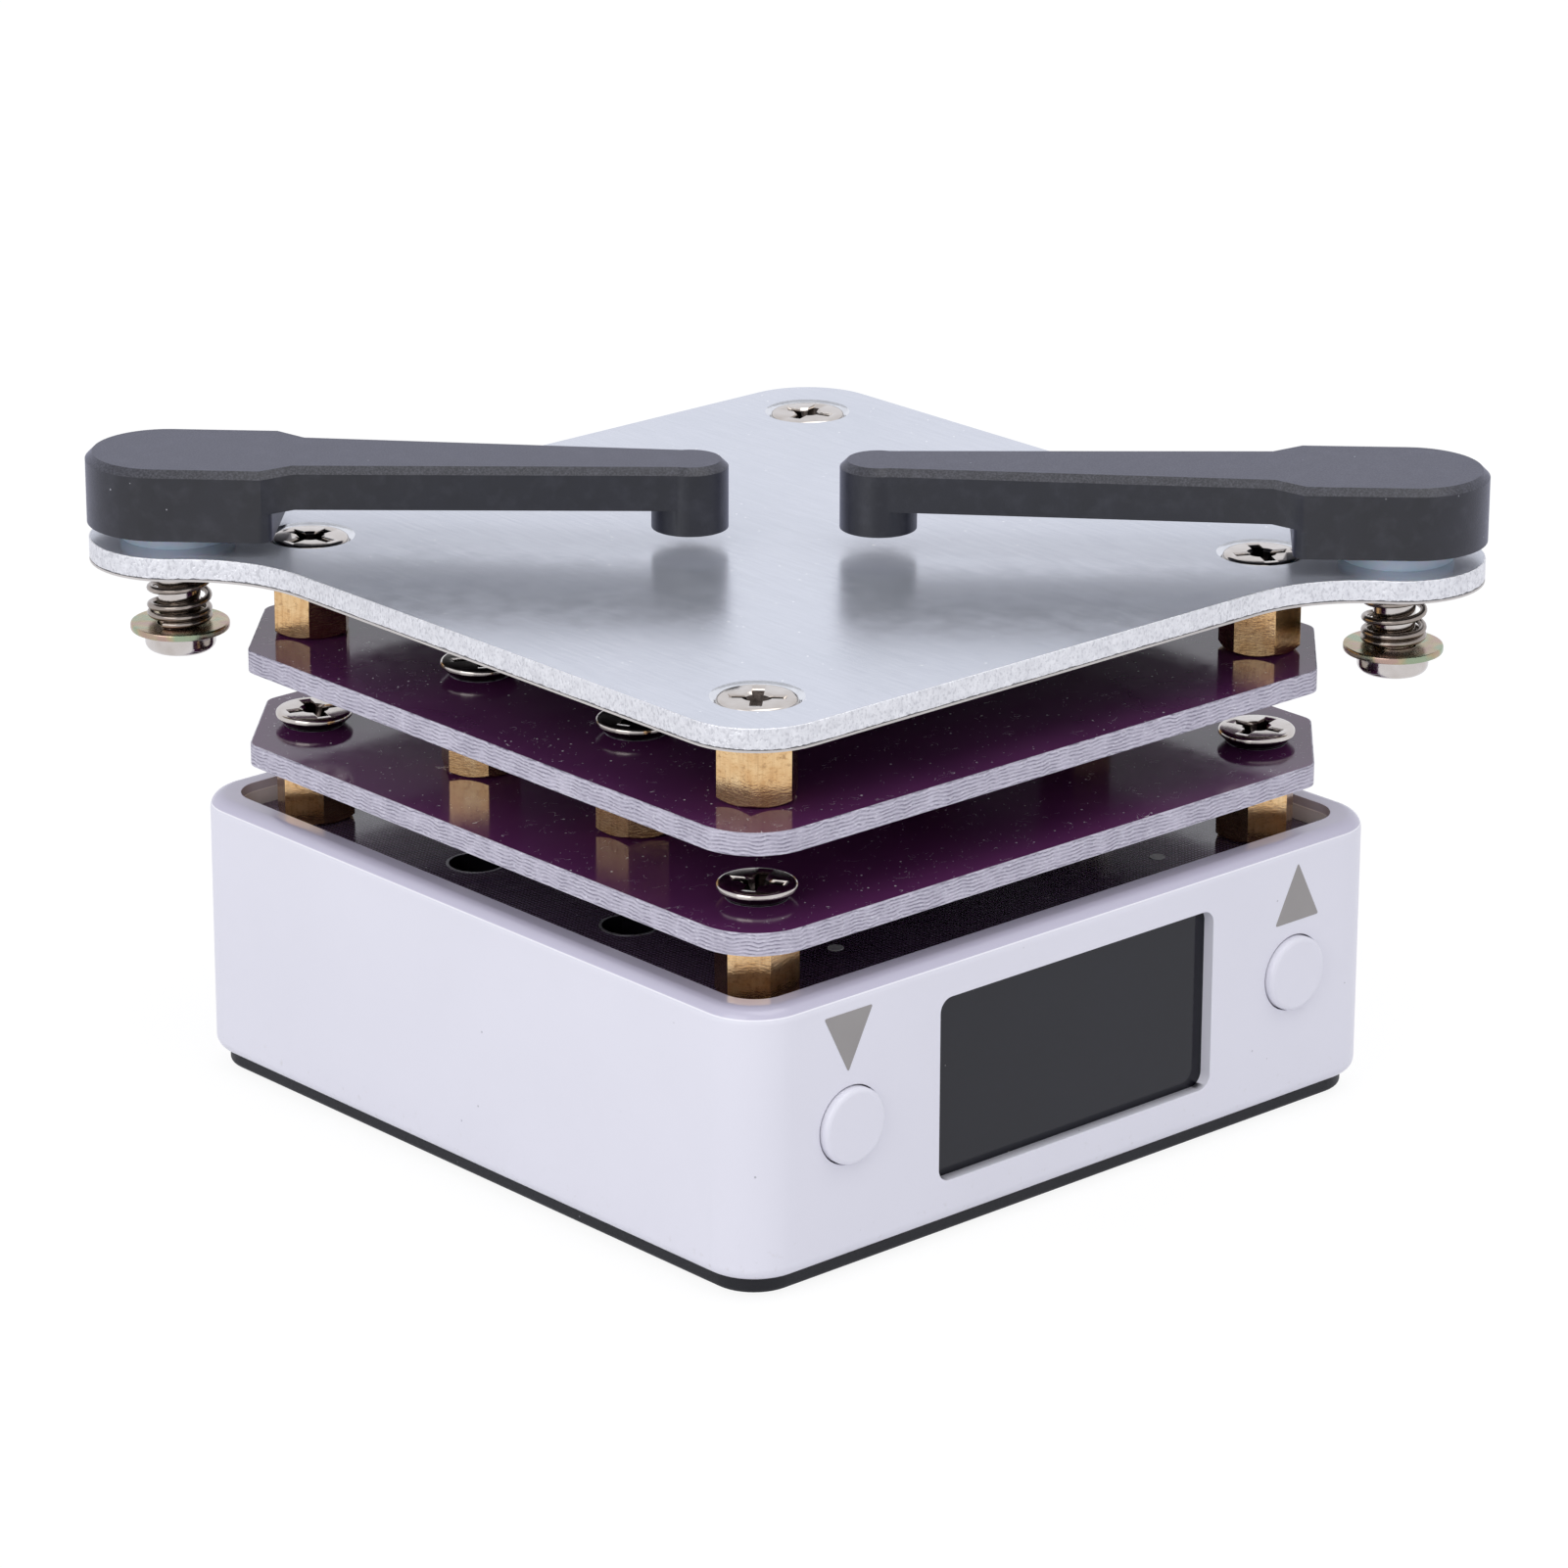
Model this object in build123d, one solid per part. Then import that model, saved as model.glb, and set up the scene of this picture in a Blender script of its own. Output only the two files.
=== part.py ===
from build123d import *
import math
import os

# A small hotplate that preheats circuit boards. Origin: centre of the footprint on the table.
# +Z is up, the display looks along -Y, and all sizes are in millimetres.

# Housing
housing_side = 60.0
housing_height = 19.25
housing_corner_r = 4.0
wall = 2.0
opening_corner_r = 2.5
housing_top_fillet = 1.1
housing_bottom_fillet = 0.95

# Bottom cover, its pads and its screws
cover_inset = 0.9
cover_t = 1.15
cover_corner_r = 3.2
cover_fillet = 0.35
lip_h = 1.5
lip_t = 1.2
lip_gap = 0.1
lip_notch_gap = 0.3
pad_r = 4.0
pad_t = 0.8
pad_proud = 0.3
pad_inset = 9.5
pad_gap = 0.05
column_inset = 4.3
column_r = 2.4
column_h = 5.85
cover_screw_r = 1.0
cover_screw_len = 6.0
cover_screw_head_r = 1.9
cover_screw_sink = 0.05
cover_screw_tip_gap = 0.4

# Fits
thread_gap = 0.05
hole_gap = 0.2
running_gap = 0.1
board_wall_gap = 0.2
part_gap = 0.3

# Screws with a 3 mm thread
screw_r = 1.5
flat_head_r = 2.72
flat_head_land = 0.4
pan_head_r = 2.75
pan_head_h = 1.9
pan_head_fillet = 0.7
low_head_h = 1.2
low_head_fillet = 0.5
recess_width = 0.85
recess_span = 3.6
recess_depth = 1.0
plate_screw_len = 4.0
stack_screw_len = 5.0
under_screw_len = 4.0
main_screw_len = 6.0
screw_inset = 6.5

# Boards
board_inset = 0.2
board_t = 1.6
board_corner_r = 4.5
board_chamfer = 7.0
board_vertex_r = 1.5
board_hole_gap = 0.55
main_board_t = 1.6
main_board_drop = 1.7
shelf_t = 1.8
shelf_side = 8.4
test_pad_r = 0.55
test_pad_t = 0.05
test_pad_left = (-13.9, -20.7)
test_pad_right = (14.9, -22.5)

# Standoffs
standoff_flats = 5.0
standoff_len = 5.3
standoff_end_r = 2.3
standoff_edge_angle = 30.0
mid_inset = 9.2
mid_pitch = 16.5
access_hole_r = 1.9
access_inset = 8.6
access_pitch = 16.4

# Heater plate, insulation, track and sensor
plate_inset = 0.2
plate_t = 1.5
plate_corner_r = 5.5
countersink_r = 3.15
ear_offset = 0.3
ear_r = 6.2
ear_blend_r = 11.0
insulation_t = 0.15
track_t = 0.1
track_width = 1.2
track_pitch = 4.0
track_runs = 10
track_half_span = 18.0
track_return_x = 21.3
track_return_end = 15.5
sensor_length = 3.2
sensor_width = 1.6
sensor_height = 0.5
heater_lead_r = 0.75
sensor_lead_r = 0.3
lead_clearance = 0.5
lead_tail = 0.6

# Clamps
spring_len = 4.8
spring_r = 2.3
spring_wire_r = 0.25
spring_turns = 4.5
spring_washer_r = 3.5
spring_washer_t = 0.5
slide_washer_r = 4.0
slide_washer_t = 1.0
clamp_gap = 0.05
clamp_screw_len = 10.0
clamp_head_r = 2.5
clamp_head_h = 1.5
clamp_head_fillet = 0.6
insert_r = 2.1
insert_len = 3.0
insert_gap = 0.02
insert_groove_depth = 0.25
insert_groove_width = 0.6
boss_height = 5.05
boss_half_width = 5.5
boss_outer_reach = 6.3
boss_inner_reach = 6.7
neck_length = 2.1
boss_step = 0.65
boss_edge_r = 0.8
arm_length = 36.0
arm_root_half_width = 3.95
arm_tip_half_width = 2.55
arm_t = 3.05
arm_chamfer = 0.5
foot_r = 2.7
foot_gap = 1.22
left_arm_angle = -45.2
left_arm_rise = 0.0
right_arm_angle = 135.3
right_arm_rise = 0.2

# Display
window_width = 25.86
window_height = 13.22
window_corner_r = 1.0
window_lift = 0.23
glass_recess = 0.9
glass_border_x = 0.87
glass_border_z = 0.69
glass_t = 0.9
glass_gap = 0.1
panel_width = 26.4
panel_height = 12.7
panel_t = 2.3
foam_border = 1.5
foam_t = 0.6
flex_width = 8.0
flex_height = 4.0
flex_t = 0.15
front_board_rim = 0.1
front_board_lift = 1.45
front_board_t = 1.0

# Posts that hold the front board, with heads formed by heat
post_r = 1.0
post_pin_r = 0.6
post_head_t = 0.4
post_x = 15.2
post_low = 11.2
post_high = 2.8

# Buttons and their switches
button_x = 21.0
button_drop = 9.71
button_r = 2.68
button_proud = 0.6
button_fillet = 0.35
button_gap = 0.11
button_flange_r = 3.3
button_flange_t = 0.6
button_play = 0.05
button_travel = 0.5
switch_side = 4.2
plunger_r = 1.0
plunger_engage = 0.45

# Header between the two boards
pin_count = 6
pin_pitch = 2.54
pin_side = 0.64
header_depth = 2.5
header_height = 2.5
pin_gap = 0.03
pin_end_gap = 0.1

# Power socket
socket_width = 8.94
socket_height = 3.16
socket_length = 7.3
socket_corner_r = 1.3
socket_sheet = 0.3
socket_setback = 0.4
socket_cut_gap = 0.18
tongue_width = 6.7
tongue_t = 0.7
tongue_length = 4.6
socket_core_t = 1.6

# Components under the main board: (x, y), then length, width and height
controller_at = (-9.0, -6.0)
controller_size = (7.0, 7.0, 1.0)
power_chip_at = (6.0, 15.0)
power_chip_size = (4.0, 4.0, 0.8)
transistor_size = (5.0, 6.0, 1.1)
transistor_at = ((11.0, 5.5), (11.0, -4.0))
inductor_at = (-10.0, 12.0)
inductor_size = (6.0, 6.0, 3.0)
inductor_fillet = 1.0
capacitor_size = (3.2, 1.6, 1.6)
capacitor_at = ((-3.0, 12.0), (-3.0, 16.0), (-16.0, -14.5), (-9.0, -14.5), (9.0, -12.0), (9.0, -16.0))

# Heights, from the table up
cover_z = pad_proud
housing_z = cover_z + cover_t
rim_z = housing_z + housing_height
main_top = rim_z - main_board_drop
main_z = main_top - main_board_t
shelf_z = main_z - shelf_t
lower_z = main_top + standoff_len
lower_top = lower_z + board_t
upper_z = lower_top + standoff_len
upper_top = upper_z + board_t
insulation_z = upper_top + standoff_len
plate_z = insulation_z + insulation_t
plate_top = plate_z + plate_t
boss_z = plate_top + slide_washer_t + clamp_gap
arm_top = boss_z + boss_height
arm_z = arm_top - arm_t
foot_z = plate_top + foot_gap
spring_z = insulation_z - spring_len
spring_washer_z = spring_z - spring_washer_t

# Places across
half = housing_side / 2
opening_half = half - wall
screw_at = half - screw_inset
board_half = half - board_inset
plate_half = half - plate_inset
ear_at = plate_half + ear_offset
mid_x = half - mid_inset
access_x = half - access_inset
column_at = half - column_inset
pad_at = half - pad_inset
screw_hole_r = screw_r + hole_gap
board_hole_r = screw_r + board_hole_gap
main_board_half = opening_half - board_wall_gap

# Places from the display face inwards
glass_y = -half + glass_recess
panel_y = glass_y + glass_t
foam_y = panel_y + panel_t
front_board_y = foam_y + foam_t
front_board_back = front_board_y + front_board_t
front_top = main_z - board_wall_gap
panel_z = front_top - panel_height / 2
window_z = panel_z + window_lift
button_z = rim_z - button_drop
flange_y = -opening_half + button_play
flange_back = flange_y + button_flange_t
switch_y = flange_back + button_travel + button_play

CORNERS = [(x, y) for x in (-1, 1) for y in (-1, 1)]
corner_points = [(x * screw_at, y * screw_at) for x, y in CORNERS]
mid_points = [(x * mid_x, y * mid_pitch / 2) for x, y in CORNERS]
access_points = [(x * access_x, y * access_pitch / 2) for x, y in CORNERS]
header_xs = [pin_pitch * (i - (pin_count - 1) / 2) for i in range(pin_count)]
track_start = (track_half_span, track_pitch * (track_runs - 1) / 2)
heater_lead_points = [track_start, (track_return_x, track_return_end)]
sensor_lead_x = sensor_length / 2 - sensor_lead_r - running_gap
sensor_lead_points = [(-sensor_lead_x, 0.0), (sensor_lead_x, 0.0)]

# Each standoff was tightened at its own angle: direction of one flat, in degrees
LOW_TURNS = (36.0, 33.0, 5.0, 20.0)
MID_TURNS = (8.0, 31.0, 14.0, 27.0)
HIGH_TURNS = (10.0, 18.0, 36.0, 25.0)


def at(x, y, z, shape):
    return Pos(x, y, z) * shape


def rod(r, z0, z1, x=0.0, y=0.0):
    return at(x, y, (z0 + z1) / 2, Cylinder(r, z1 - z0))


def block(x0, x1, y0, y1, z0, z1):
    return at((x0 + x1) / 2, (y0 + y1) / 2, (z0 + z1) / 2, Box(x1 - x0, y1 - y0, z1 - z0))


def slab(sketch, z0, z1):
    return extrude(Pos(0, 0, z0) * sketch, z1 - z0)


def through_front(sketch, y0, y1):
    """A sketch in X and Z, made solid from y0 to y1."""
    return extrude(Plane.XZ.offset(-y1) * sketch, y1 - y0)


def rod_y(r, y0, y1, x, z):
    return through_front(Pos(x, z) * Circle(r), y0, y1)


def arc(centre, r, start, end):
    """Arc of a circle from one angle to another, in degrees."""
    def point(angle):
        a = math.radians(angle)
        return (centre[0] + r * math.cos(a), centre[1] + r * math.sin(a))
    return ThreePointArc(point(start), point((start + end) / 2), point(end))


def top_edges(solid):
    return solid.faces().sort_by(Axis.Z)[-1].edges()


def bottom_edges(solid):
    return solid.faces().sort_by(Axis.Z)[0].edges()


def save(name, *pieces):
    solids = [solid for piece in pieces for solid in piece.solids()]
    shape = solids[0] if len(solids) == 1 else Compound(children=solids)
    export_step(shape, f"parts/{name}.step")


# Screws

def cross_recess(z):
    """Cross-shaped pocket that opens upwards at height z."""
    bar = block(-recess_span / 2, recess_span / 2, -recess_width / 2, recess_width / 2, z - recess_depth, z)
    return bar + Rot(0, 0, 90) * bar


def flat_screw(length):
    """Countersunk screw, point down. Its head's flat top is at z = 0."""
    cone_top = -flat_head_land
    cone_bottom = cone_top - (flat_head_r - screw_r)
    profile = Polyline(
        (0, 0), (flat_head_r, 0), (flat_head_r, cone_top), (screw_r, cone_bottom),
        (screw_r, -length), (0, -length), close=True)
    return revolve(make_face(Plane.XZ * profile), Axis.Z) - cross_recess(0)


def pan_screw(length, head_r, head_h, head_fillet):
    """Pan-head screw, point up. The seat of its head is at z = 0."""
    head = rod(head_r, -head_h, 0)
    head = fillet(bottom_edges(head), head_fillet)
    pocket = Rot(180, 0, 0) * cross_recess(head_h)
    return head + rod(screw_r, 0, length) - pocket


# The head's cone seats on the edge of a board's plain hole, so the head stands proud of it
flat_head_proud = flat_head_land + flat_head_r - board_hole_r
# In the plate's countersink the same cone sits deeper
flat_head_in_plate = flat_head_land + flat_head_r - countersink_r


# Boards and plate, seen from above

def screw_holes(points, z0, z1, r):
    return [rod(r, z0, z1, x, y) for x, y in points]


def board_outline():
    """Square with two opposite corners rounded and the two under the ears cut off."""
    square = Rectangle(2 * board_half, 2 * board_half)
    round_ones = [v for v in square.vertices() if v.X * v.Y > 0]
    square = fillet(round_ones, board_corner_r)
    cut_ones = [v for v in square.vertices() if abs(abs(v.X) - abs(v.Y)) < 1e-6]
    square = chamfer(cut_ones, board_chamfer)
    soft_ones = [
        v for v in square.vertices()
        if v.X * v.Y < 0 and abs(abs(v.X) + abs(v.Y) + board_chamfer - 2 * board_half) < 1e-6]
    return fillet(soft_ones, board_vertex_r)


def plate_outline():
    """Square plate with an ear at two opposite corners, blended in by hollow arcs."""
    reach = ear_r + ear_blend_r
    across = ear_blend_r - ear_offset
    along = math.sqrt(reach ** 2 - across ** 2)
    blend_at = (-plate_half - ear_blend_r, ear_at - along)
    turn = math.degrees(math.atan2(along, across))
    mirrored = (-blend_at[1], -blend_at[0])
    corner = plate_half - plate_corner_r
    half_outline = [
        Line((-plate_half, -corner), (-plate_half, blend_at[1])),
        arc(blend_at, ear_blend_r, 0, turn),
        arc((-ear_at, ear_at), ear_r, 180 + turn, 90 - turn),
        arc(mirrored, ear_blend_r, 270 - turn, 270),
        Line((mirrored[0], plate_half), (corner, plate_half)),
        arc((corner, corner), plate_corner_r, 90, 0),
    ]
    edges = []
    for turned in (0, 180):
        for curve in half_outline:
            edges.append(Rot(0, 0, turned) * curve)
    return make_face(edges)


# Housing

def housing():
    body = slab(RectangleRounded(housing_side, housing_side, housing_corner_r), housing_z, rim_z)
    body = fillet(top_edges(body), housing_top_fillet)
    body = fillet(bottom_edges(body), housing_bottom_fillet)
    body -= slab(RectangleRounded(2 * opening_half, 2 * opening_half, opening_corner_r), housing_z, rim_z)
    inside_wall = opening_half + wall / 4
    for x, y in CORNERS:
        near = opening_half - shelf_side
        xs = sorted((x * near, x * inside_wall))
        ys = sorted((y * near, y * inside_wall))
        body += block(*xs, *ys, shelf_z, main_z)
        body += rod(column_r, housing_z, housing_z + column_h, x * column_at, y * column_at)
        pilot_top = cover_z + cover_screw_len + cover_screw_tip_gap
        body -= rod(cover_screw_r + thread_gap, housing_z, pilot_top, x * column_at, y * column_at)
    for hole in screw_holes(corner_points, shelf_z, main_z, screw_hole_r):
        body -= hole
    return body - display_cuts() - button_cuts() - socket_cut() + board_posts()


def display_cuts():
    window = Pos(0, window_z) * RectangleRounded(window_width, window_height, window_corner_r)
    seat_width = window_width + 2 * (glass_border_x + glass_gap)
    seat_height = window_height + 2 * (glass_border_z + glass_gap)
    seat = Pos(0, window_z) * Rectangle(seat_width, seat_height)
    return through_front(window, -half, glass_y) + through_front(seat, glass_y, -opening_half)


def button_cuts():
    cuts = [rod_y(button_r + button_gap, -half, -opening_half, side * button_x, button_z) for side in (-1, 1)]
    return cuts[0] + cuts[1]


def socket_cut():
    grow = 2 * socket_cut_gap
    shape = RectangleRounded(socket_width + grow, socket_height + grow, socket_corner_r + socket_cut_gap)
    return through_front(Pos(0, main_z - socket_height / 2) * shape, opening_half, half)


def post_points():
    return [(side * post_x, main_z - drop) for side in (-1, 1) for drop in (post_low, post_high)]


def board_posts():
    posts = []
    for x, z in post_points():
        posts.append(rod_y(post_r, -opening_half - wall / 4, front_board_y, x, z))
        posts.append(rod_y(post_pin_r, front_board_y, front_board_back, x, z))
        posts.append(rod_y(post_r, front_board_back, front_board_back + post_head_t, x, z))
    return posts


# Bottom cover

def bottom_cover():
    cover_half = half - cover_inset
    body = slab(RectangleRounded(2 * cover_half, 2 * cover_half, cover_corner_r), cover_z, housing_z)
    body = fillet(bottom_edges(body), cover_fillet)
    lip_half = opening_half - lip_gap
    lip_r = opening_corner_r - lip_gap
    inner_half = lip_half - lip_t
    lip = slab(RectangleRounded(2 * lip_half, 2 * lip_half, lip_r), housing_z, housing_z + lip_h)
    lip -= slab(Rectangle(2 * inner_half, 2 * inner_half), housing_z, housing_z + lip_h)
    notch_half = panel_width / 2 + lip_notch_gap
    lip -= block(-notch_half, notch_half, -lip_half, -inner_half, housing_z, housing_z + lip_h)
    for side in (-1, 1):
        clear_of_button = button_flange_r + lip_notch_gap
        x0 = side * button_x - clear_of_button
        x1 = side * button_x + clear_of_button
        lip -= block(x0, x1, -lip_half, -inner_half, housing_z, housing_z + lip_h)
    for x, y in CORNERS:
        lip -= rod(column_r + lip_notch_gap, housing_z, housing_z + lip_h, x * column_at, y * column_at)
    body += lip
    for x, y in CORNERS:
        body -= rod(pad_r + pad_gap, cover_z, pad_t, x * pad_at, y * pad_at)
        body -= rod(cover_screw_r + hole_gap, cover_z, housing_z, x * column_at, y * column_at)
        sink_r = cover_screw_head_r + cover_screw_sink
        sink_depth = sink_r - cover_screw_r
        sink = Cone(sink_r, cover_screw_r, sink_depth)
        body -= at(x * column_at, y * column_at, cover_z + sink_depth / 2, sink)
    return body


def cover_screws():
    depth = cover_screw_head_r - cover_screw_r
    seat = cover_z + cover_screw_sink
    screws = []
    for x, y in CORNERS:
        head = at(x * column_at, y * column_at, seat + depth / 2, Cone(cover_screw_head_r, cover_screw_r, depth))
        shank = rod(cover_screw_r, seat + depth, cover_z + cover_screw_len, x * column_at, y * column_at)
        slot_half = cover_screw_head_r / 2
        slot = block(-slot_half, slot_half, -recess_width / 4, recess_width / 4, 0, depth / 2)
        cross = slot + Rot(0, 0, 90) * slot
        screws.append(head + shank - at(x * column_at, y * column_at, seat, cross))
    return screws


# Boards

def main_board():
    side = 2 * main_board_half
    body = slab(RectangleRounded(side, side, opening_corner_r - board_wall_gap), main_z, main_top)
    holes = screw_holes(corner_points, main_z, main_top, screw_hole_r)
    holes += screw_holes(access_points, main_z, main_top, access_hole_r)
    holes += screw_holes(heater_lead_points, main_z, main_top, heater_lead_r + thread_gap)
    holes += screw_holes(sensor_lead_points, main_z, main_top, sensor_lead_r + thread_gap)
    return body - holes


def spacer_board(z):
    top = z + board_t
    holes = screw_holes(corner_points + mid_points, z, top, board_hole_r)
    holes += screw_holes(heater_lead_points, z, top, heater_lead_r + lead_clearance)
    holes += screw_holes(sensor_lead_points, z, top, sensor_lead_r + lead_clearance)
    return slab(board_outline(), z, top) - holes


def standoff(x, y, z, turn):
    """Hexagonal threaded spacer with turned ends, so each flat ends in an arc."""
    hexagon = RegularPolygon(standoff_flats / 2, 6, major_radius=False, rotation=turn + 30)
    prism = slab(hexagon, 0, standoff_len)
    outer = standoff_flats / 2 / math.cos(math.radians(30)) + running_gap
    rise = (outer - standoff_end_r) * math.tan(math.radians(standoff_edge_angle))
    turned = Polyline(
        (0, 0), (standoff_end_r, 0), (outer, rise), (outer, standoff_len - rise),
        (standoff_end_r, standoff_len), (0, standoff_len), close=True)
    body = prism & revolve(make_face(Plane.XZ * turned), Axis.Z)
    return at(x, y, z, body - rod(screw_r + thread_gap, 0, standoff_len))


def standoffs(points, z, turns):
    return [standoff(x, y, z, turn) for (x, y), turn in zip(points, turns)]


def placed(points, z, screw):
    return [at(x, y, z, screw) for x, y in points]


# Heater plate and what is under it

def heater_plate():
    body = slab(plate_outline(), plate_z, plate_top)
    holes = screw_holes(corner_points, plate_z, plate_top, screw_hole_r)
    depth = countersink_r - screw_hole_r
    sink = Cone(screw_hole_r, countersink_r, depth)
    holes += [at(x, y, plate_top - depth / 2, sink) for x, y in corner_points]
    holes += screw_holes([(-ear_at, ear_at), (ear_at, -ear_at)], plate_z, plate_top, screw_r + running_gap)
    return body - holes


def insulation_layer():
    holes = screw_holes(corner_points, insulation_z, plate_z, screw_hole_r)
    holes += screw_holes([(-ear_at, ear_at), (ear_at, -ear_at)], insulation_z, plate_z, screw_hole_r)
    return slab(plate_outline(), insulation_z, plate_z) - holes


def heater_track():
    """Printed strip that winds from one lead to the other."""
    y_end = track_start[1]
    ys = [y_end - i * track_pitch for i in range(track_runs)]
    w = track_width / 2
    z0 = insulation_z - track_t
    body = block(-track_half_span - w, track_half_span + w, ys[0] - w, ys[0] + w, z0, insulation_z)
    for i in range(1, track_runs):
        side = -1 if i % 2 else 1
        end = side * track_half_span
        reach = track_half_span
        if i == track_runs - 1:
            reach = track_return_x
        body += block(-track_half_span - w, reach + w, ys[i] - w, ys[i] + w, z0, insulation_z)
        body += block(end - w, end + w, ys[i] - w, ys[i - 1] + w, z0, insulation_z)
    body += block(track_return_x - w, track_return_x + w, ys[-1] - w, track_return_end, z0, insulation_z)
    for x, y in heater_lead_points:
        body += rod(heater_lead_r + lead_clearance, z0, insulation_z, x, y)
    return body


def temperature_sensor():
    x = sensor_length / 2
    y = sensor_width / 2
    return block(-x, x, -y, y, insulation_z - sensor_height, insulation_z)


def leads(points, r, z1):
    return [rod(r, main_z - lead_tail, z1, x, y) for x, y in points]


# Display stack

def display_glass():
    w = window_width + 2 * glass_border_x
    h = window_height + 2 * glass_border_z
    return through_front(Pos(0, window_z) * Rectangle(w, h), glass_y, panel_y)


def display_panel():
    w = panel_width / 2
    h = panel_height / 2
    return block(-w, w, panel_y, foam_y, panel_z - h, panel_z + h)


def display_foam():
    w = panel_width / 2 - foam_border
    h = panel_height / 2 - foam_border
    body = block(-w, w, foam_y, front_board_y, panel_z - h, panel_z + h)
    notch = flex_width / 2 + part_gap
    top = panel_z - panel_height / 2 + flex_height + part_gap
    return body - block(-notch, notch, foam_y, front_board_y, panel_z - h, top)


def display_flex():
    """Flexible lead from the panel's back to the front board, bent once."""
    w = flex_width / 2
    z0 = panel_z - panel_height / 2 + part_gap
    foot = block(-w, w, foam_y, front_board_y, z0, z0 + flex_t)
    return foot + block(-w, w, front_board_y - flex_t, front_board_y, z0, z0 + flex_height - part_gap)


def front_board():
    w = button_x + switch_side / 2 + front_board_rim
    body = block(-w, w, front_board_y, front_board_back, housing_z + front_board_lift, front_top)
    notch_x = opening_half - shelf_side - part_gap
    notch_z = shelf_z - pan_head_h - part_gap
    for side in (-1, 1):
        xs = sorted((side * notch_x, side * w))
        body -= block(*xs, front_board_y, front_board_back, notch_z, front_top)
    for x, z in post_points():
        body -= rod_y(post_pin_r + thread_gap, front_board_y, front_board_back, x, z)
    pin_hole_r = pin_side / math.sqrt(2) + pin_gap
    for x in header_xs:
        body -= rod_y(pin_hole_r, front_board_y, front_board_back, x, pin_row_z())
    return body


# Buttons

def button(side):
    x = side * button_x
    cap = rod_y(button_r, -half - button_proud, flange_y, x, button_z)
    cap = fillet(cap.faces().sort_by(Axis.Y)[0].edges(), button_fillet)
    return cap + rod_y(button_flange_r, flange_y, flange_back, x, button_z)


def switch_plunger(side):
    return rod_y(plunger_r, flange_back, switch_y + plunger_engage, side * button_x, button_z)


def switch_body(side):
    x = side * button_x
    h = switch_side / 2
    body = block(x - h, x + h, switch_y, front_board_y, button_z - h, button_z + h)
    depth = plunger_engage + button_travel + running_gap
    return body - rod_y(plunger_r + running_gap, switch_y, switch_y + depth, x, button_z)


# Header between the main board and the front board

def pin_row_y():
    return front_board_back + header_depth - pin_side * 2


def pin_row_z():
    return main_z - header_height / 2


def header_pins(grow=0.0):
    """Square pins with one bend, from the main board's underside into the front board."""
    s = pin_side / 2 + grow
    y = pin_row_y()
    z = pin_row_z()
    pins = []
    for x in header_xs:
        leg = block(x - s, x + s, y - s, y + s, z - s, main_z)
        pins.append(leg + block(x - s, x + s, front_board_y + pin_end_gap, y + s, z - s, z + s))
    return pins


def header_body():
    w = pin_pitch * pin_count / 2
    body = block(-w, w, front_board_back, front_board_back + header_depth, main_z - header_height, main_z)
    return body - header_pins(pin_gap)


# Power socket

def socket_shell():
    y1 = half - socket_setback
    y0 = y1 - socket_length
    centre = Pos(0, main_z - socket_height / 2)
    outer = centre * RectangleRounded(socket_width, socket_height, socket_corner_r)
    inner = centre * RectangleRounded(
        socket_width - 2 * socket_sheet, socket_height - 2 * socket_sheet, socket_corner_r - socket_sheet)
    return through_front(outer, y0, y1) - through_front(inner, y0 + socket_sheet, y1)


def socket_core():
    y0 = half - socket_setback - socket_length + socket_sheet
    centre = Pos(0, main_z - socket_height / 2)
    inset = 2 * (socket_sheet + thread_gap)
    plug = centre * RectangleRounded(
        socket_width - inset, socket_height - inset, socket_corner_r - inset / 2)
    tongue = centre * Rectangle(tongue_width, tongue_t)
    body = through_front(plug, y0, y0 + socket_core_t)
    return body + through_front(tongue, y0 + socket_core_t, y0 + socket_core_t + tongue_length)


# Components soldered under the main board

def component(place, size):
    x, y = place
    w, d, h = size
    return block(x - w / 2, x + w / 2, y - d / 2, y + d / 2, main_z - h, main_z)


def inductor():
    body = component(inductor_at, inductor_size)
    return fillet(body.edges().filter_by(Axis.Z), inductor_fillet)


# Clamps, built with the screw's axis at x = y = 0 and the arm along +X

def arm_plan():
    """Outline of boss and arm from above, with the foot's round end."""
    b = boss_half_width
    end_x = b - boss_outer_reach
    neck_x = boss_inner_reach + neck_length
    outline = [
        arc((end_x, 0), b, 90, 270),
        Line((end_x, -b), (boss_inner_reach, -b)),
        Line((boss_inner_reach, -b), (neck_x, -arm_root_half_width)),
        Line((neck_x, -arm_root_half_width), (arm_length, -arm_tip_half_width)),
        Line((arm_length, -arm_tip_half_width), (arm_length, arm_tip_half_width)),
        Line((arm_length, arm_tip_half_width), (neck_x, arm_root_half_width)),
        Line((neck_x, arm_root_half_width), (boss_inner_reach, b)),
        Line((boss_inner_reach, b), (end_x, b)),
    ]
    return make_face(outline) + Pos(arm_length, 0) * Circle(foot_r)


def clamp_arm(rise):
    """Arm that lies level, with its foot just above the plate. A rise leaves the insert proud of the boss."""
    body = slab(arm_plan(), arm_z, arm_top)
    body = chamfer(top_edges(body), arm_chamfer)
    lower = slab(arm_plan(), boss_z, arm_z)
    step_x = boss_inner_reach + boss_step
    reach = arm_length + 2 * foot_r
    lower -= block(step_x, reach, -boss_half_width, boss_half_width, boss_z, arm_z)
    step_edges = lower.edges().filter_by(Axis.Z).sort_by(Axis.X)[-4:]
    body += fillet(step_edges, boss_edge_r)
    body += rod(foot_r, foot_z, arm_z, arm_length)
    return Pos(0, 0, rise) * body - rod(insert_r + insert_gap, boss_z, insert_top() + insert_gap)


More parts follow.
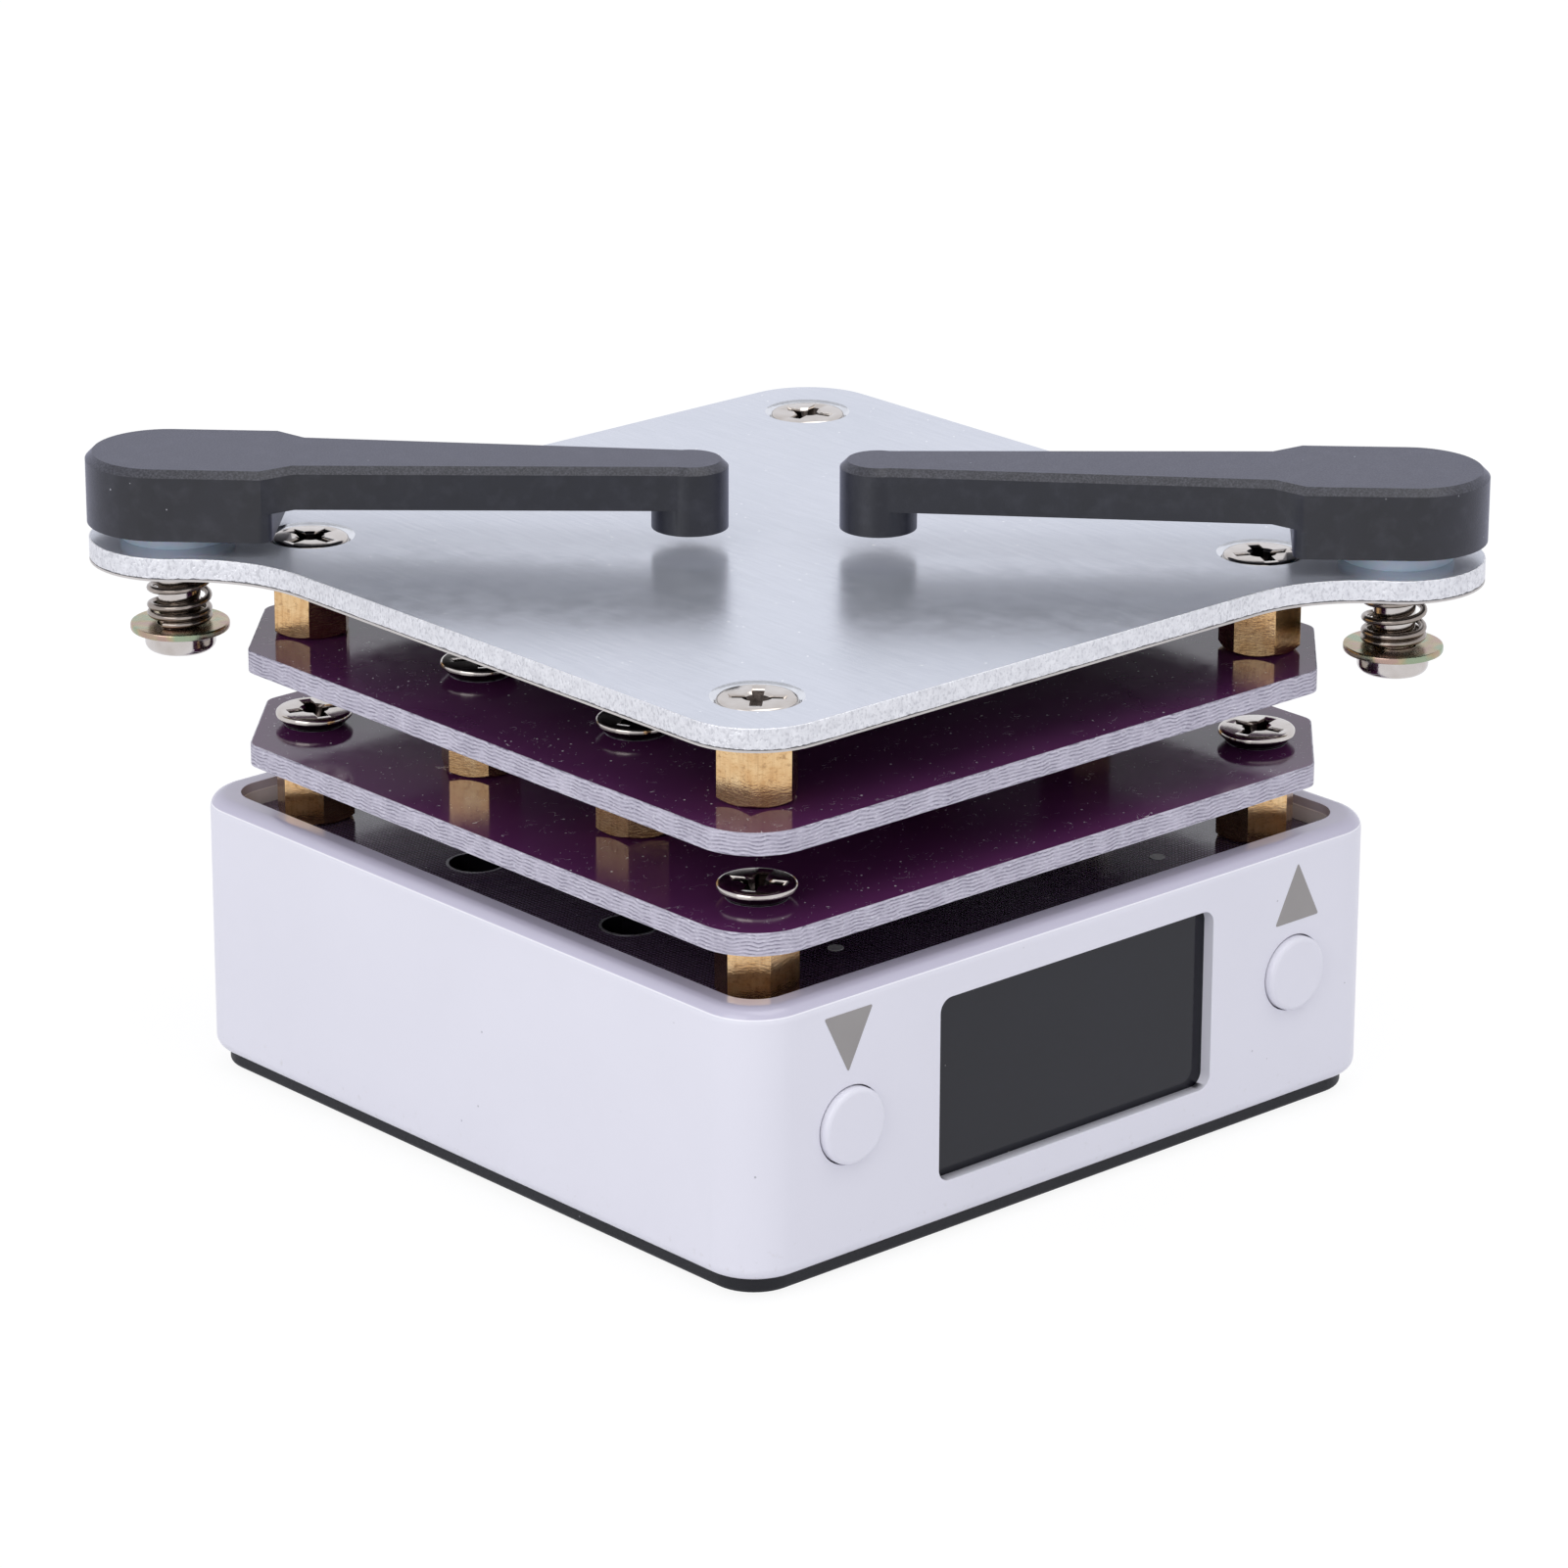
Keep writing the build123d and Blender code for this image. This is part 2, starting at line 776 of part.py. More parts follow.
def insert_top():
    return boss_z + insert_len


def clamp_insert():
    body = rod(insert_r, boss_z, insert_top())
    middle = boss_z + insert_len / 2
    ring = rod(insert_r, middle - insert_groove_width / 2, middle + insert_groove_width / 2)
    ring -= rod(insert_r - insert_groove_depth, boss_z, insert_top())
    return body - ring - rod(screw_r + thread_gap, boss_z, insert_top())


def clamp_screw():
    return at(0, 0, spring_washer_z, pan_screw(clamp_screw_len, clamp_head_r, clamp_head_h, clamp_head_fillet))


def washer(r, z, t):
    return rod(r, z, z + t) - rod(screw_r + running_gap, z, z + t)


def clamp_spring():
    pitch = (spring_len - 2 * spring_wire_r) / spring_turns
    coil_r = spring_r - spring_wire_r
    path = Helix(pitch, spring_len - 2 * spring_wire_r, coil_r)
    section = Plane(origin=path @ 0, z_dir=path % 0) * Circle(spring_wire_r)
    return at(0, 0, spring_z + spring_wire_r, sweep(section, path=path))


def main():
    os.makedirs("parts", exist_ok=True)
    save("housing", housing())
    save("bottom_cover", bottom_cover())
    save("foot_pads", *[rod(pad_r, 0, pad_t, x * pad_at, y * pad_at) for x, y in CORNERS])
    save("cover_screws", *cover_screws())

    main_screw = pan_screw(main_screw_len, pan_head_r, pan_head_h, pan_head_fillet)
    under_screw = pan_screw(under_screw_len, pan_head_r, low_head_h, low_head_fillet)
    save("main_board", main_board())
    save("main_board_screws", *placed(corner_points, shelf_z, main_screw))
    save("low_standoffs", *standoffs(corner_points, main_top, LOW_TURNS))
    save("lower_board", spacer_board(lower_z))
    stack_screw = flat_screw(stack_screw_len)
    save("lower_board_screws", *placed(corner_points, lower_top + flat_head_proud, stack_screw))
    save("mid_standoffs", *standoffs(mid_points, lower_top, MID_TURNS))
    save("mid_under_screws", *placed(mid_points, lower_z, under_screw))
    save("upper_board", spacer_board(upper_z))
    save("upper_board_screws", *placed(mid_points, upper_top + flat_head_proud, stack_screw))
    save("high_standoffs", *standoffs(corner_points, upper_top, HIGH_TURNS))
    save("high_under_screws", *placed(corner_points, upper_z, under_screw))
    test_pads = [rod(test_pad_r, main_top, main_top + test_pad_t, *p) for p in (test_pad_left, test_pad_right)]
    save("test_pads", *test_pads)

    save("heater_plate", heater_plate())
    plate_screw = flat_screw(plate_screw_len)
    save("plate_screws", *placed(corner_points, plate_top + flat_head_in_plate, plate_screw))
    save("insulation_layer", insulation_layer())
    save("heater_track", heater_track())
    save("temperature_sensor", temperature_sensor())
    save("heater_leads", *leads(heater_lead_points, heater_lead_r, insulation_z - track_t))
    save("sensor_leads", *leads(sensor_lead_points, sensor_lead_r, insulation_z - sensor_height))

    save("display_glass", display_glass())
    save("display_panel", display_panel())
    save("display_foam", display_foam())
    save("display_flex", display_flex())
    save("front_board", front_board())
    save("switch_bodies", switch_body(-1), switch_body(1))
    save("header_body", header_body())
    save("header_pins", *header_pins())
    save("power_socket_shell", socket_shell())
    save("power_socket_core", socket_core())

    save("controller_chip", component(controller_at, controller_size))
    save("power_chip", component(power_chip_at, power_chip_size))
    save("power_transistors", *[component(place, transistor_size) for place in transistor_at])
    save("inductor", inductor())
    save("capacitors", *[component(place, capacitor_size) for place in capacitor_at])

    slide_washers = []
    sides = (("left", -1, left_arm_angle, left_arm_rise), ("right", 1, right_arm_angle, right_arm_rise))
    for name, side, angle, rise in sides:
        place = Pos(side * ear_at, -side * ear_at, 0)
        slide_washers.append(place * washer(slide_washer_r, plate_top, slide_washer_t))
        save(f"{name}_button", button(side))
        save(f"{name}_switch_plunger", switch_plunger(side))
        save(f"{name}_clamp_arm", place * Rot(0, 0, angle) * clamp_arm(rise))
        save(f"{name}_clamp_insert", place * clamp_insert())
        save(f"{name}_clamp_screw", place * clamp_screw())
        save(f"{name}_clamp_spring", place * clamp_spring())
        save(f"{name}_spring_washer", place * washer(spring_washer_r, spring_washer_z, spring_washer_t))
    save("slide_washers", *slide_washers)


main()
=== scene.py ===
# %% [markdown]
# # A small hotplate for circuit boards
# The real object is a stack. At the bottom is a white moulded base with a display. Above it
# are two purple spacer boards on brass standoffs, and then an aluminium heating plate with
# two black swing clamps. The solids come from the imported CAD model, so this lesson is about
# soft edges, finishes and light. Shapes are modelled in millimetres and then scaled to metres.

# %% Load the frame
import math

import bmesh
import bpy
from mathutils import Matrix, Quaternion, Vector


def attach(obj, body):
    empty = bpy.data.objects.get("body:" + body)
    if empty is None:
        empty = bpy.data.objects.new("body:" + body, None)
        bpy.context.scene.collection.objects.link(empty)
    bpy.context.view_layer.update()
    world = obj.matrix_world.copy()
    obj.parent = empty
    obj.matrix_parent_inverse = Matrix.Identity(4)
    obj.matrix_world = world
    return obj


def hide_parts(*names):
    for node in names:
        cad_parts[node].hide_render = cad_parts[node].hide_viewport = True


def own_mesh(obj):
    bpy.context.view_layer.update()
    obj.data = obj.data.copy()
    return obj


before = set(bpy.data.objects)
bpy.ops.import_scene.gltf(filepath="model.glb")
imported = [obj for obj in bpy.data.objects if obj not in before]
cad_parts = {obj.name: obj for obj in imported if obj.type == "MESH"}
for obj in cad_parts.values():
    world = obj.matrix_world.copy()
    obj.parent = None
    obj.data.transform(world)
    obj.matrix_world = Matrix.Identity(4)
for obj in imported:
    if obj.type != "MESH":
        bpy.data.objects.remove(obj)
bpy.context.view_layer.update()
scene = bpy.context.scene
MM = 0.001
print("CAD nodes:", len(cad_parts))

# %% [markdown]
# ## The camera
# The photograph looks down on the near corner from about 19 degrees, through a long lens.
# Turning the view direction into a rotation with `to_track_quat` keeps the horizon level,
# and a small extra roll matches the way the camera was held.

# %% Camera
AZIMUTH, ELEVATION, ROLL = (math.radians(angle) for angle in (-42.039, 19.448, 0.134))
DISTANCE = 461.551 * MM
TARGET = Vector((3.178, 3.476, 20.3)) * MM
SENSOR, LENS, NEAREST = 36.0, 148.306, 0.01

towards_camera = Vector((
    math.sin(AZIMUTH) * math.cos(ELEVATION),
    -math.cos(AZIMUTH) * math.cos(ELEVATION),
    math.sin(ELEVATION)))
camera = bpy.data.objects.new("camera", bpy.data.cameras.new("camera"))
scene.collection.objects.link(camera)
camera.location = TARGET + towards_camera * DISTANCE
camera.rotation_mode = "QUATERNION"
level_view = (-towards_camera).to_track_quat("-Z", "Y")
camera.rotation_quaternion = level_view @ Quaternion((0, 0, 1), ROLL)
camera.data.sensor_width = SENSOR
camera.data.lens = LENS
camera.data.clip_start = NEAREST
scene.camera = camera
print("camera at", [round(c / MM, 1) for c in camera.location], "mm")

# %% [markdown]
# ## Adding nodes
# Every finish below is a small graph of shader nodes. One function adds a node, sets it up
# and plugs its inputs, so a finish reads from its first pattern to its last. Colours are
# written as they look on a screen, and are turned into the linear values that light needs.

# %% Helpers for nodes and colours
def linear(code):
    """A colour such as #E4E1EF, turned into linear red, green, blue and alpha."""
    parts = [int(code[i:i + 2], 16) / 255 for i in (1, 3, 5)]
    return [p / 12.92 if p <= 0.04045 else ((p + 0.055) / 1.055) ** 2.4 for p in parts] + [1.0]


def add(owner, kind, inputs=None, **settings):
    """Adds one node to a material or world. An input is a value, or a socket to plug in."""
    node = owner.node_tree.nodes.new(kind)
    for name, value in settings.items():
        setattr(node, name, value)
    for socket, value in (inputs or {}).items():
        if isinstance(value, bpy.types.NodeSocket):
            owner.node_tree.links.new(value, node.inputs[socket])
        else:
            node.inputs[socket].default_value = value
    return node


# %% [markdown]
# ## Floor and light
# The object stands on a white sweep that has no visible horizon. The floor is pale for the
# camera and in reflections, and still takes a soft shadow. A white world gives the even
# light of a tent, and two large softboxes give the faces slightly different tones. Only the
# camera sees plain white: the light itself and the reflections are a little cool.

# %% What is seen of the studio
COOL = [0.93, 0.94, 1.0, 1.0]
WHITE = [1.0, 1.0, 1.0, 1.0]


def studio(owner):
    """Two outputs: 1 where the studio is seen or mirrored, and its white or cool tint."""
    rays = add(owner, "ShaderNodeLightPath").outputs
    seen = add(owner, "ShaderNodeMath", {
        0: rays["Is Camera Ray"], 1: rays["Is Glossy Ray"]}, operation="MAXIMUM")
    seen = add(owner, "ShaderNodeMath", {
        0: seen.outputs[0], 1: rays["Is Transmission Ray"]}, operation="MAXIMUM")
    tint = add(owner, "ShaderNodeMix", {
        0: rays["Is Camera Ray"], 6: COOL, 7: WHITE}, data_type="RGBA")
    return seen.outputs[0], tint.outputs[2]


# %% Floor
FLOOR_HALF = 2.0
FLOOR_GLOW, FLOOR_SHADE = 0.9, 0.12

floor_shape = bmesh.new()
bmesh.ops.create_grid(floor_shape, x_segments=1, y_segments=1, size=FLOOR_HALF)
floor_mesh = bpy.data.meshes.new("floor")
floor_shape.to_mesh(floor_mesh)
floor_shape.free()
floor = bpy.data.objects.new("floor", floor_mesh)
scene.collection.objects.link(floor)

paper = bpy.data.materials.new("white_paper_sweep")
paper.use_nodes = True
paper.node_tree.nodes.remove(paper.node_tree.nodes["Principled BSDF"])
seen, tint = studio(paper)
plain = add(paper, "ShaderNodeBsdfDiffuse", {"Color": [0.8, 0.8, 0.82, 1.0]})
shade = add(paper, "ShaderNodeBsdfDiffuse", {"Color": [FLOOR_SHADE] * 3 + [1.0]})
glow = add(paper, "ShaderNodeEmission", {"Color": tint, "Strength": FLOOR_GLOW})
bright = add(paper, "ShaderNodeAddShader", {0: shade.outputs[0], 1: glow.outputs[0]})
sweep = add(paper, "ShaderNodeMixShader", {0: seen, 1: plain.outputs[0], 2: bright.outputs[0]})
paper_output = paper.node_tree.nodes["Material Output"]
paper.node_tree.links.new(sweep.outputs[0], paper_output.inputs["Surface"])
floor_mesh.materials.append(paper)
print("floor", round(floor.dimensions.x, 1), "m wide")

# %% World and lamps
TENT = 0.78

world = bpy.data.worlds.new("white_tent")
world.use_nodes = True
scene.world = world
seen, tint = studio(world)
strength = add(world, "ShaderNodeMapRange", {"Value": seen, "To Min": TENT, "To Max": 1.0})
tent = world.node_tree.nodes["Background"]
world.node_tree.links.new(tint, tent.inputs["Color"])
world.node_tree.links.new(strength.outputs[0], tent.inputs["Strength"])


def softbox(name, place, size, power):
    """A square area lamp in metres and watts that faces the object."""
    lamp = bpy.data.lights.new(name, "AREA")
    lamp.size = size
    lamp.energy = power
    box = bpy.data.objects.new(name, lamp)
    scene.collection.objects.link(box)
    box.location = place
    box.rotation_mode = "QUATERNION"
    box.rotation_quaternion = (TARGET - box.location).to_track_quat("-Z", "Y")


softbox("left_softbox", (-0.75, -0.15, 0.45), 0.6, 1.8)
softbox("top_softbox", (0.1, -0.25, 0.9), 0.7, 2.2)
scene.view_settings.view_transform = "Standard"

# %% [markdown]
# ## The common start of every finish
# Real surfaces are never one flat tone. Each finish here starts with two close tones that
# drift over patches, and a finer grain that changes the roughness and raises a low relief.
# The patterns are driven by the surface's own place in millimetres, so a grain of 0.1 mm
# is written as 0.1. Sparked, plated and brushed grains are finer than the picture can show,
# so they are drawn about 0.1 mm wide, which is as coarse as they need to be to show. Later
# functions paint more patterns over this start.

# %% Patterns of a surface
def place_mm(material):
    """The output that gives each point's own place on the piece, in millimetres."""
    return material.node_tree.nodes["place in mm"].outputs[0]


def stretched(material, factors, scale, detail):
    """Noise whose grain is drawn out along the axes with small factors."""
    drawn = add(material, "ShaderNodeVectorMath", {
        0: place_mm(material), 1: factors}, operation="MULTIPLY").outputs[0]
    return add(material, "ShaderNodeTexNoise", {
        "Vector": drawn, "Scale": scale, "Detail": detail}).outputs[0]


def patches(material, scale, detail, low, high, top=1.0, factors=(1.0, 1.0, 1.0)):
    """A mask that goes from 0 to top as a noise, stretched or not, goes from low to high."""
    return add(material, "ShaderNodeMapRange", {
        "Value": stretched(material, factors, scale, detail),
        "From Min": low, "From Max": high, "To Max": top}).outputs[0]


def hairlines(material, noise, width, where):
    """A mask of thin lines, where the noise crosses its middle, kept inside another mask."""
    off = add(material, "ShaderNodeMath", {0: noise, 1: 0.5}, operation="SUBTRACT").outputs[0]
    off = add(material, "ShaderNodeMath", {0: off}, operation="ABSOLUTE").outputs[0]
    line = add(material, "ShaderNodeMath", {0: off, 1: width}, operation="LESS_THAN").outputs[0]
    return add(material, "ShaderNodeMath", {0: line, 1: where}, operation="MULTIPLY").outputs[0]


def facing(material, axis, low, high):
    """A mask from 0 to 1 as the surface's own normal along an axis goes from low to high."""
    normal = add(material, "ShaderNodeTexCoord").outputs["Normal"]
    parts = add(material, "ShaderNodeSeparateXYZ", {0: normal})
    return add(material, "ShaderNodeMapRange", {
        "Value": parts.outputs[axis], "From Min": low, "From Max": high}).outputs[0]


# %% A finish and what is painted over it
def feed(material, socket, output):
    """Plugs an output into a socket of the material's shader."""
    shader = material.node_tree.nodes["Principled BSDF"]
    material.node_tree.links.new(output, shader.inputs[socket])


def feeding(material, socket):
    """The output that feeds a socket of the material's shader now."""
    return material.node_tree.nodes["Principled BSDF"].inputs[socket].links[0].from_socket


def finish(name, tones, roughness, patch, grain, relief, **fixed):
    """Starts a material: two tones, a roughness range, sizes of patch and grain, relief in mm."""
    material = bpy.data.materials.new(name)
    material.use_nodes = True
    shader = material.node_tree.nodes["Principled BSDF"]
    for socket, value in fixed.items():
        shader.inputs[socket.replace("_", " ")].default_value = value
    place = add(material, "ShaderNodeTexCoord").outputs["Object"]
    add(material, "ShaderNodeVectorMath", {
        0: place, "Scale": 1 / MM}, operation="SCALE", name="place in mm")
    drift = patches(material, 1 / patch, 3.0, 0.3, 0.7)
    tone = add(material, "ShaderNodeMix", {
        0: drift, 6: linear(tones[0]), 7: linear(tones[1])}, data_type="RGBA")
    fine = add(material, "ShaderNodeTexNoise", {
        "Vector": place_mm(material), "Scale": 1 / grain, "Detail": 2.0}).outputs[0]
    rough = add(material, "ShaderNodeMapRange", {
        "Value": fine, "From Min": 0.3, "From Max": 0.7,
        "To Min": roughness[0], "To Max": roughness[1]})
    bump = add(material, "ShaderNodeBump", {"Height": fine, "Distance": relief * MM})
    feed(material, "Base Color", tone.outputs[2])
    feed(material, "Roughness", rough.outputs[0])
    feed(material, "Normal", bump.outputs[0])
    print("finish:", name)
    return material


def paint(material, mask, colour):
    """Paints a colour over what is there, where the mask is 1."""
    over = add(material, "ShaderNodeMix", {
        0: mask, 6: feeding(material, "Base Color"), 7: linear(colour)}, data_type="RGBA")
    feed(material, "Base Color", over.outputs[2])


def polish(material, mask, roughness):
    """Sets another roughness where the mask is 1."""
    over = add(material, "ShaderNodeMix", {
        0: mask, 2: feeding(material, "Roughness"), 3: roughness})
    feed(material, "Roughness", over.outputs[0])


def emboss(material, height, distance):
    """Adds another relief, in mm, on top of the one that is there."""
    over = add(material, "ShaderNodeBump", {
        "Height": height, "Distance": distance * MM, "Normal": feeding(material, "Normal")})
    feed(material, "Normal", over.outputs[0])


def speckle(material, spacing, size, colour, share=1.0):
    """Small round specks, such as dust, of that size and spacing in mm, lying in crowds."""
    cells = add(material, "ShaderNodeTexVoronoi", {
        "Vector": place_mm(material), "Scale": 1 / spacing})
    near = add(material, "ShaderNodeMath", {
        0: cells.outputs["Distance"], 1: size / spacing / 2}, operation="LESS_THAN")
    crowd = patches(material, 0.2, 2.0, 0.42, 0.56, share)
    dust = add(material, "ShaderNodeMath", {0: near.outputs[0], 1: crowd}, operation="MULTIPLY")
    paint(material, dust.outputs[0], colour)


def dress(material, *nodes):
    """Gives CAD nodes their finish."""
    for name in nodes:
        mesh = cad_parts[name].data
        mesh.materials.clear()
        mesh.materials.append(material)


# %% [markdown]
# ## Softening edges
# A CAD solid has edges of no radius, and a real part never does: the thin bright line on an
# edge is what tells the eye that it was moulded, milled or stamped. A copy of the solid has
# its loose triangles merged back into whole faces, and then the chosen edges are bevelled.
# The copy replaces the CAD node in the picture and keeps its size.

# %% Helpers for shapes
SHARP = math.radians(35)
FLAT = math.radians(0.6)


def merged(node):
    """A CAD node as a bmesh in millimetres, with whole faces instead of loose triangles."""
    shape = bmesh.new()
    shape.from_mesh(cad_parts[node].data)
    bmesh.ops.scale(shape, vec=(1 / MM,) * 3, verts=shape.verts)
    bmesh.ops.remove_doubles(shape, verts=shape.verts, dist=0.002)
    bmesh.ops.dissolve_limit(shape, angle_limit=FLAT, verts=shape.verts, edges=shape.edges)
    return shape


def soften(shape, radius, chosen=lambda place: True, segments=2):
    """Rounds the sharp edges whose middle is in the chosen place, and counts them."""
    edges = []
    for edge in shape.edges:
        if edge.is_manifold and edge.calc_face_angle() > SHARP:
            if chosen((edge.verts[0].co + edge.verts[1].co) / 2):
                edges.append(edge)
    bmesh.ops.bevel(shape, geom=edges, offset=radius, offset_type="OFFSET", segments=segments,
                    profile=0.5, affect="EDGES", material=-1, clamp_overlap=True)
    return len(edges)


def piece_from(name, shape, materials, body, node=None):
    """Finishes a bmesh in millimetres as a piece that rides on a body and may replace a node."""
    bmesh.ops.scale(shape, vec=(MM,) * 3, verts=shape.verts)
    mesh = bpy.data.meshes.new(name)
    shape.to_mesh(mesh)
    shape.free()
    for material in materials:
        mesh.materials.append(material)
    mesh.shade_smooth()
    mesh.set_sharp_from_angle(angle=SHARP)
    piece = bpy.data.objects.new(name, mesh)
    scene.collection.objects.link(piece)
    even = piece.modifiers.new("even shading", "WEIGHTED_NORMAL")
    even.keep_sharp = True
    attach(piece, body)
    if node:
        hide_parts(node)
    print(name, len(mesh.polygons), "faces")
    return piece


# %% [markdown]
# ## White moulded housing and buttons
# The housing and the buttons are ABS, moulded in a finely sparked tool. That gives a silky
# sheen with no clear reflections, a faint lavender cast, and a few dust specks. Hands leave
# smudges near the bottom. The rim was moulded by the other half of the tool, which is
# polished. It is painted darker, as painted shade and a painted reflection of the boards over
# it, and the parting line between the halves is a thin raised line with a painted highlight.

# %% White ABS
PARTING_AND_HIGHLIGHT_Z = 20.0
SMUDGED_Z = (4.5, 2.0)

white_abs = finish(
    "white_moulded_abs", ("#E3E2EA", "#E6E5ED"), (0.3, 0.4), 14.0, 0.12, 0.003, IOR=1.53)
speckle(white_abs, 2.6, 0.16, "#8E8A93", 0.6)
height = add(white_abs, "ShaderNodeSeparateXYZ", {0: place_mm(white_abs)}).outputs["Z"]
handled = add(white_abs, "ShaderNodeMapRange", {
    "Value": height, "From Min": SMUDGED_Z[0], "From Max": SMUDGED_Z[1]})
smudge = patches(white_abs, 1.6, 6.0, 0.62, 0.74, 0.35)
smudge = add(white_abs, "ShaderNodeMath", {
    0: smudge, 1: handled.outputs[0]}, operation="MULTIPLY")
paint(white_abs, smudge.outputs[0], "#B9B4AC")

# %% The polished rim with painted shade, and the parting line with a painted highlight
above = add(white_abs, "ShaderNodeMath", {0: height, 1: PARTING_AND_HIGHLIGHT_Z}, operation="SUBTRACT")
rim_polish_and_painted_shade = add(white_abs, "ShaderNodeMath", {
    0: above.outputs[0], 1: 0.0}, operation="GREATER_THAN").outputs[0]
polish(white_abs, rim_polish_and_painted_shade, 0.15)
# Painted shade: the rim is painted darker, for the shadow and the reflection of the boards over
# it.
paint(white_abs, rim_polish_and_painted_shade, "#C6C2D3")
away = add(white_abs, "ShaderNodeMath", {0: above.outputs[0]}, operation="ABSOLUTE")
parting_ridge_and_highlight = add(white_abs, "ShaderNodeMapRange", {
    "Value": away.outputs[0], "From Min": 0.07, "From Max": 0.02}).outputs[0]
# Painted highlight: the parting line is painted near white, over its small raised ridge.
paint(white_abs, parting_ridge_and_highlight, "#FBFAFF")
emboss(white_abs, parting_ridge_and_highlight, 0.015)
print("nodes in the white finish:", len(white_abs.node_tree.nodes))

# %% Housing
HALF = 30.0
RIM_Z = 20.7
NEARLY = 0.01


def housing_edge(p):
    on_rim = p.z > RIM_Z - NEARLY
    on_face = abs(p.y + HALF) < NEARLY
    return on_rim or on_face


housing_shape = merged("housing")
print("edges softened:", soften(housing_shape, 0.15, housing_edge, 3))
piece_from("housing_shell", housing_shape, [white_abs], "base_unit", "housing")
dress(white_abs, "left_button", "right_button", "switch_bodies")

# %% [markdown]
# ## Printed marks
# Two grey triangles say which button goes up and which goes down. They are pad-printed ink,
# so they are made as films 0.02 mm thick on the display face. Each is one face of three
# vertices, and bevelling its corners gives the small radius that ink always has.

# %% Triangles
MARK_X, MARK_HALF, MARK_LOW, MARK_HIGH = 21.26, 2.15, 14.8, 19.05
MARK_CORNER_R = 0.18
INK = 0.02

ink = finish("grey_printed_ink", ("#979390", "#9C9895"), (0.5, 0.62), 3.0, 0.08, 0.002)
mark_shape = bmesh.new()
for side, points_up in ((-1, False), (1, True)):
    tip, base = (MARK_HIGH, MARK_LOW) if points_up else (MARK_LOW, MARK_HIGH)
    middle = side * MARK_X
    corners = [(middle, tip), (middle - MARK_HALF, base), (middle + MARK_HALF, base)]
    made = [mark_shape.verts.new((x, -HALF, z)) for x, z in corners]
    mark_shape.faces.new(made)
    rounded = bmesh.ops.bevel(
        mark_shape, geom=made, offset=MARK_CORNER_R, segments=3, profile=0.5,
        affect="VERTICES", offset_type="OFFSET", material=-1)
    face = next(f for v in rounded["verts"] for f in v.link_faces)
    film = bmesh.ops.extrude_face_region(mark_shape, geom=[face])
    moved = [g for g in film["geom"] if isinstance(g, bmesh.types.BMVert)]
    bmesh.ops.translate(mark_shape, vec=(0, -INK, 0), verts=moved)
bmesh.ops.recalc_face_normals(mark_shape, faces=mark_shape.faces)
piece_from("button_marks", mark_shape, [ink], "base_unit")

# %% [markdown]
# ## Black base and pads
# The bottom cover is black ABS with the same fine grain. The pads are silicone rubber, which
# is duller and a little softer in tone. Neither shines, so both start rough.

# %% Base
black_abs = finish(
    "black_moulded_abs", ("#151519", "#1B1B20"), (0.45, 0.58), 6.0, 0.12, 0.006, IOR=1.38)
speckle(black_abs, 2.2, 0.14, "#9A9AA0", 0.7)
dress(black_abs, "bottom_cover")
rubber = finish("black_silicone_pad", ("#26262A", "#2E2E32"), (0.7, 0.85), 2.0, 0.1, 0.008)
dress(rubber, "foot_pads")

# %% [markdown]
# ## Display window
# The window is smoked glass over a dark panel. Its colour is almost black, and nearly all
# that the eye sees is the pale floor mirrored in it. A few lint specks lie on it.

# %% Glass
glass = finish(
    "smoked_display_glass", ("#0F0F17", "#12121B"), (0.07, 0.11), 9.0, 0.6, 0.0004, IOR=1.42)
speckle(glass, 2.4, 0.13, "#B8B4B0", 0.8)
dress(glass, "display_glass")

# %% [markdown]
# ## Brushed aluminium plate
# The plate is rolled aluminium, brushed along Y and then cut out. The brushing gives fine
# lines that blur reflections, with a few stray scratches and bright specks. The cut side is
# coarse and bright, with grains of about 0.2 mm and a torn dark line along its foot. The
# sinks for the screws were turned, so they are the smoothest faces of the plate.

# %% Brushed face
aluminium = finish(
    "brushed_aluminium", ("#D0D4DD", "#D6D9E2"), (0.21, 0.26), 16.0, 1.5, 0.0001,
    Metallic=0.72, Anisotropic=0.3)
lines = patches(aluminium, 9.0, 3.0, 0.35, 0.7, factors=(1.0, 0.03, 1.0))
faint = add(aluminium, "ShaderNodeMath", {0: lines, 1: 0.18}, operation="MULTIPLY")
paint(aluminium, faint.outputs[0], "#9FA6B2")
emboss(aluminium, lines, 0.0001)
scratch = hairlines(
    aluminium, stretched(aluminium, (0.12, 2.2, 1.0), 0.9, 1.0), 0.0012,
    patches(aluminium, 0.22, 1.0, 0.6, 0.66, 0.8))
paint(aluminium, scratch, "#F4F4F6")
speckle(aluminium, 1.1, 0.14, "#FFFFFF", 1.0)

# %% Cut side
PLATE_Z, RAGGED = 38.25, 0.16

cut_side = finish(
    "cut_aluminium_side", ("#DEDEE1", "#F0F0F2"), (0.28, 0.46), 0.5, 0.1, 0.012, Metallic=0.88)
grains = patches(cut_side, 5.0, 3.0, 0.38, 0.62, factors=(1.0, 1.0, 0.7))
emboss(cut_side, grains, 0.026)
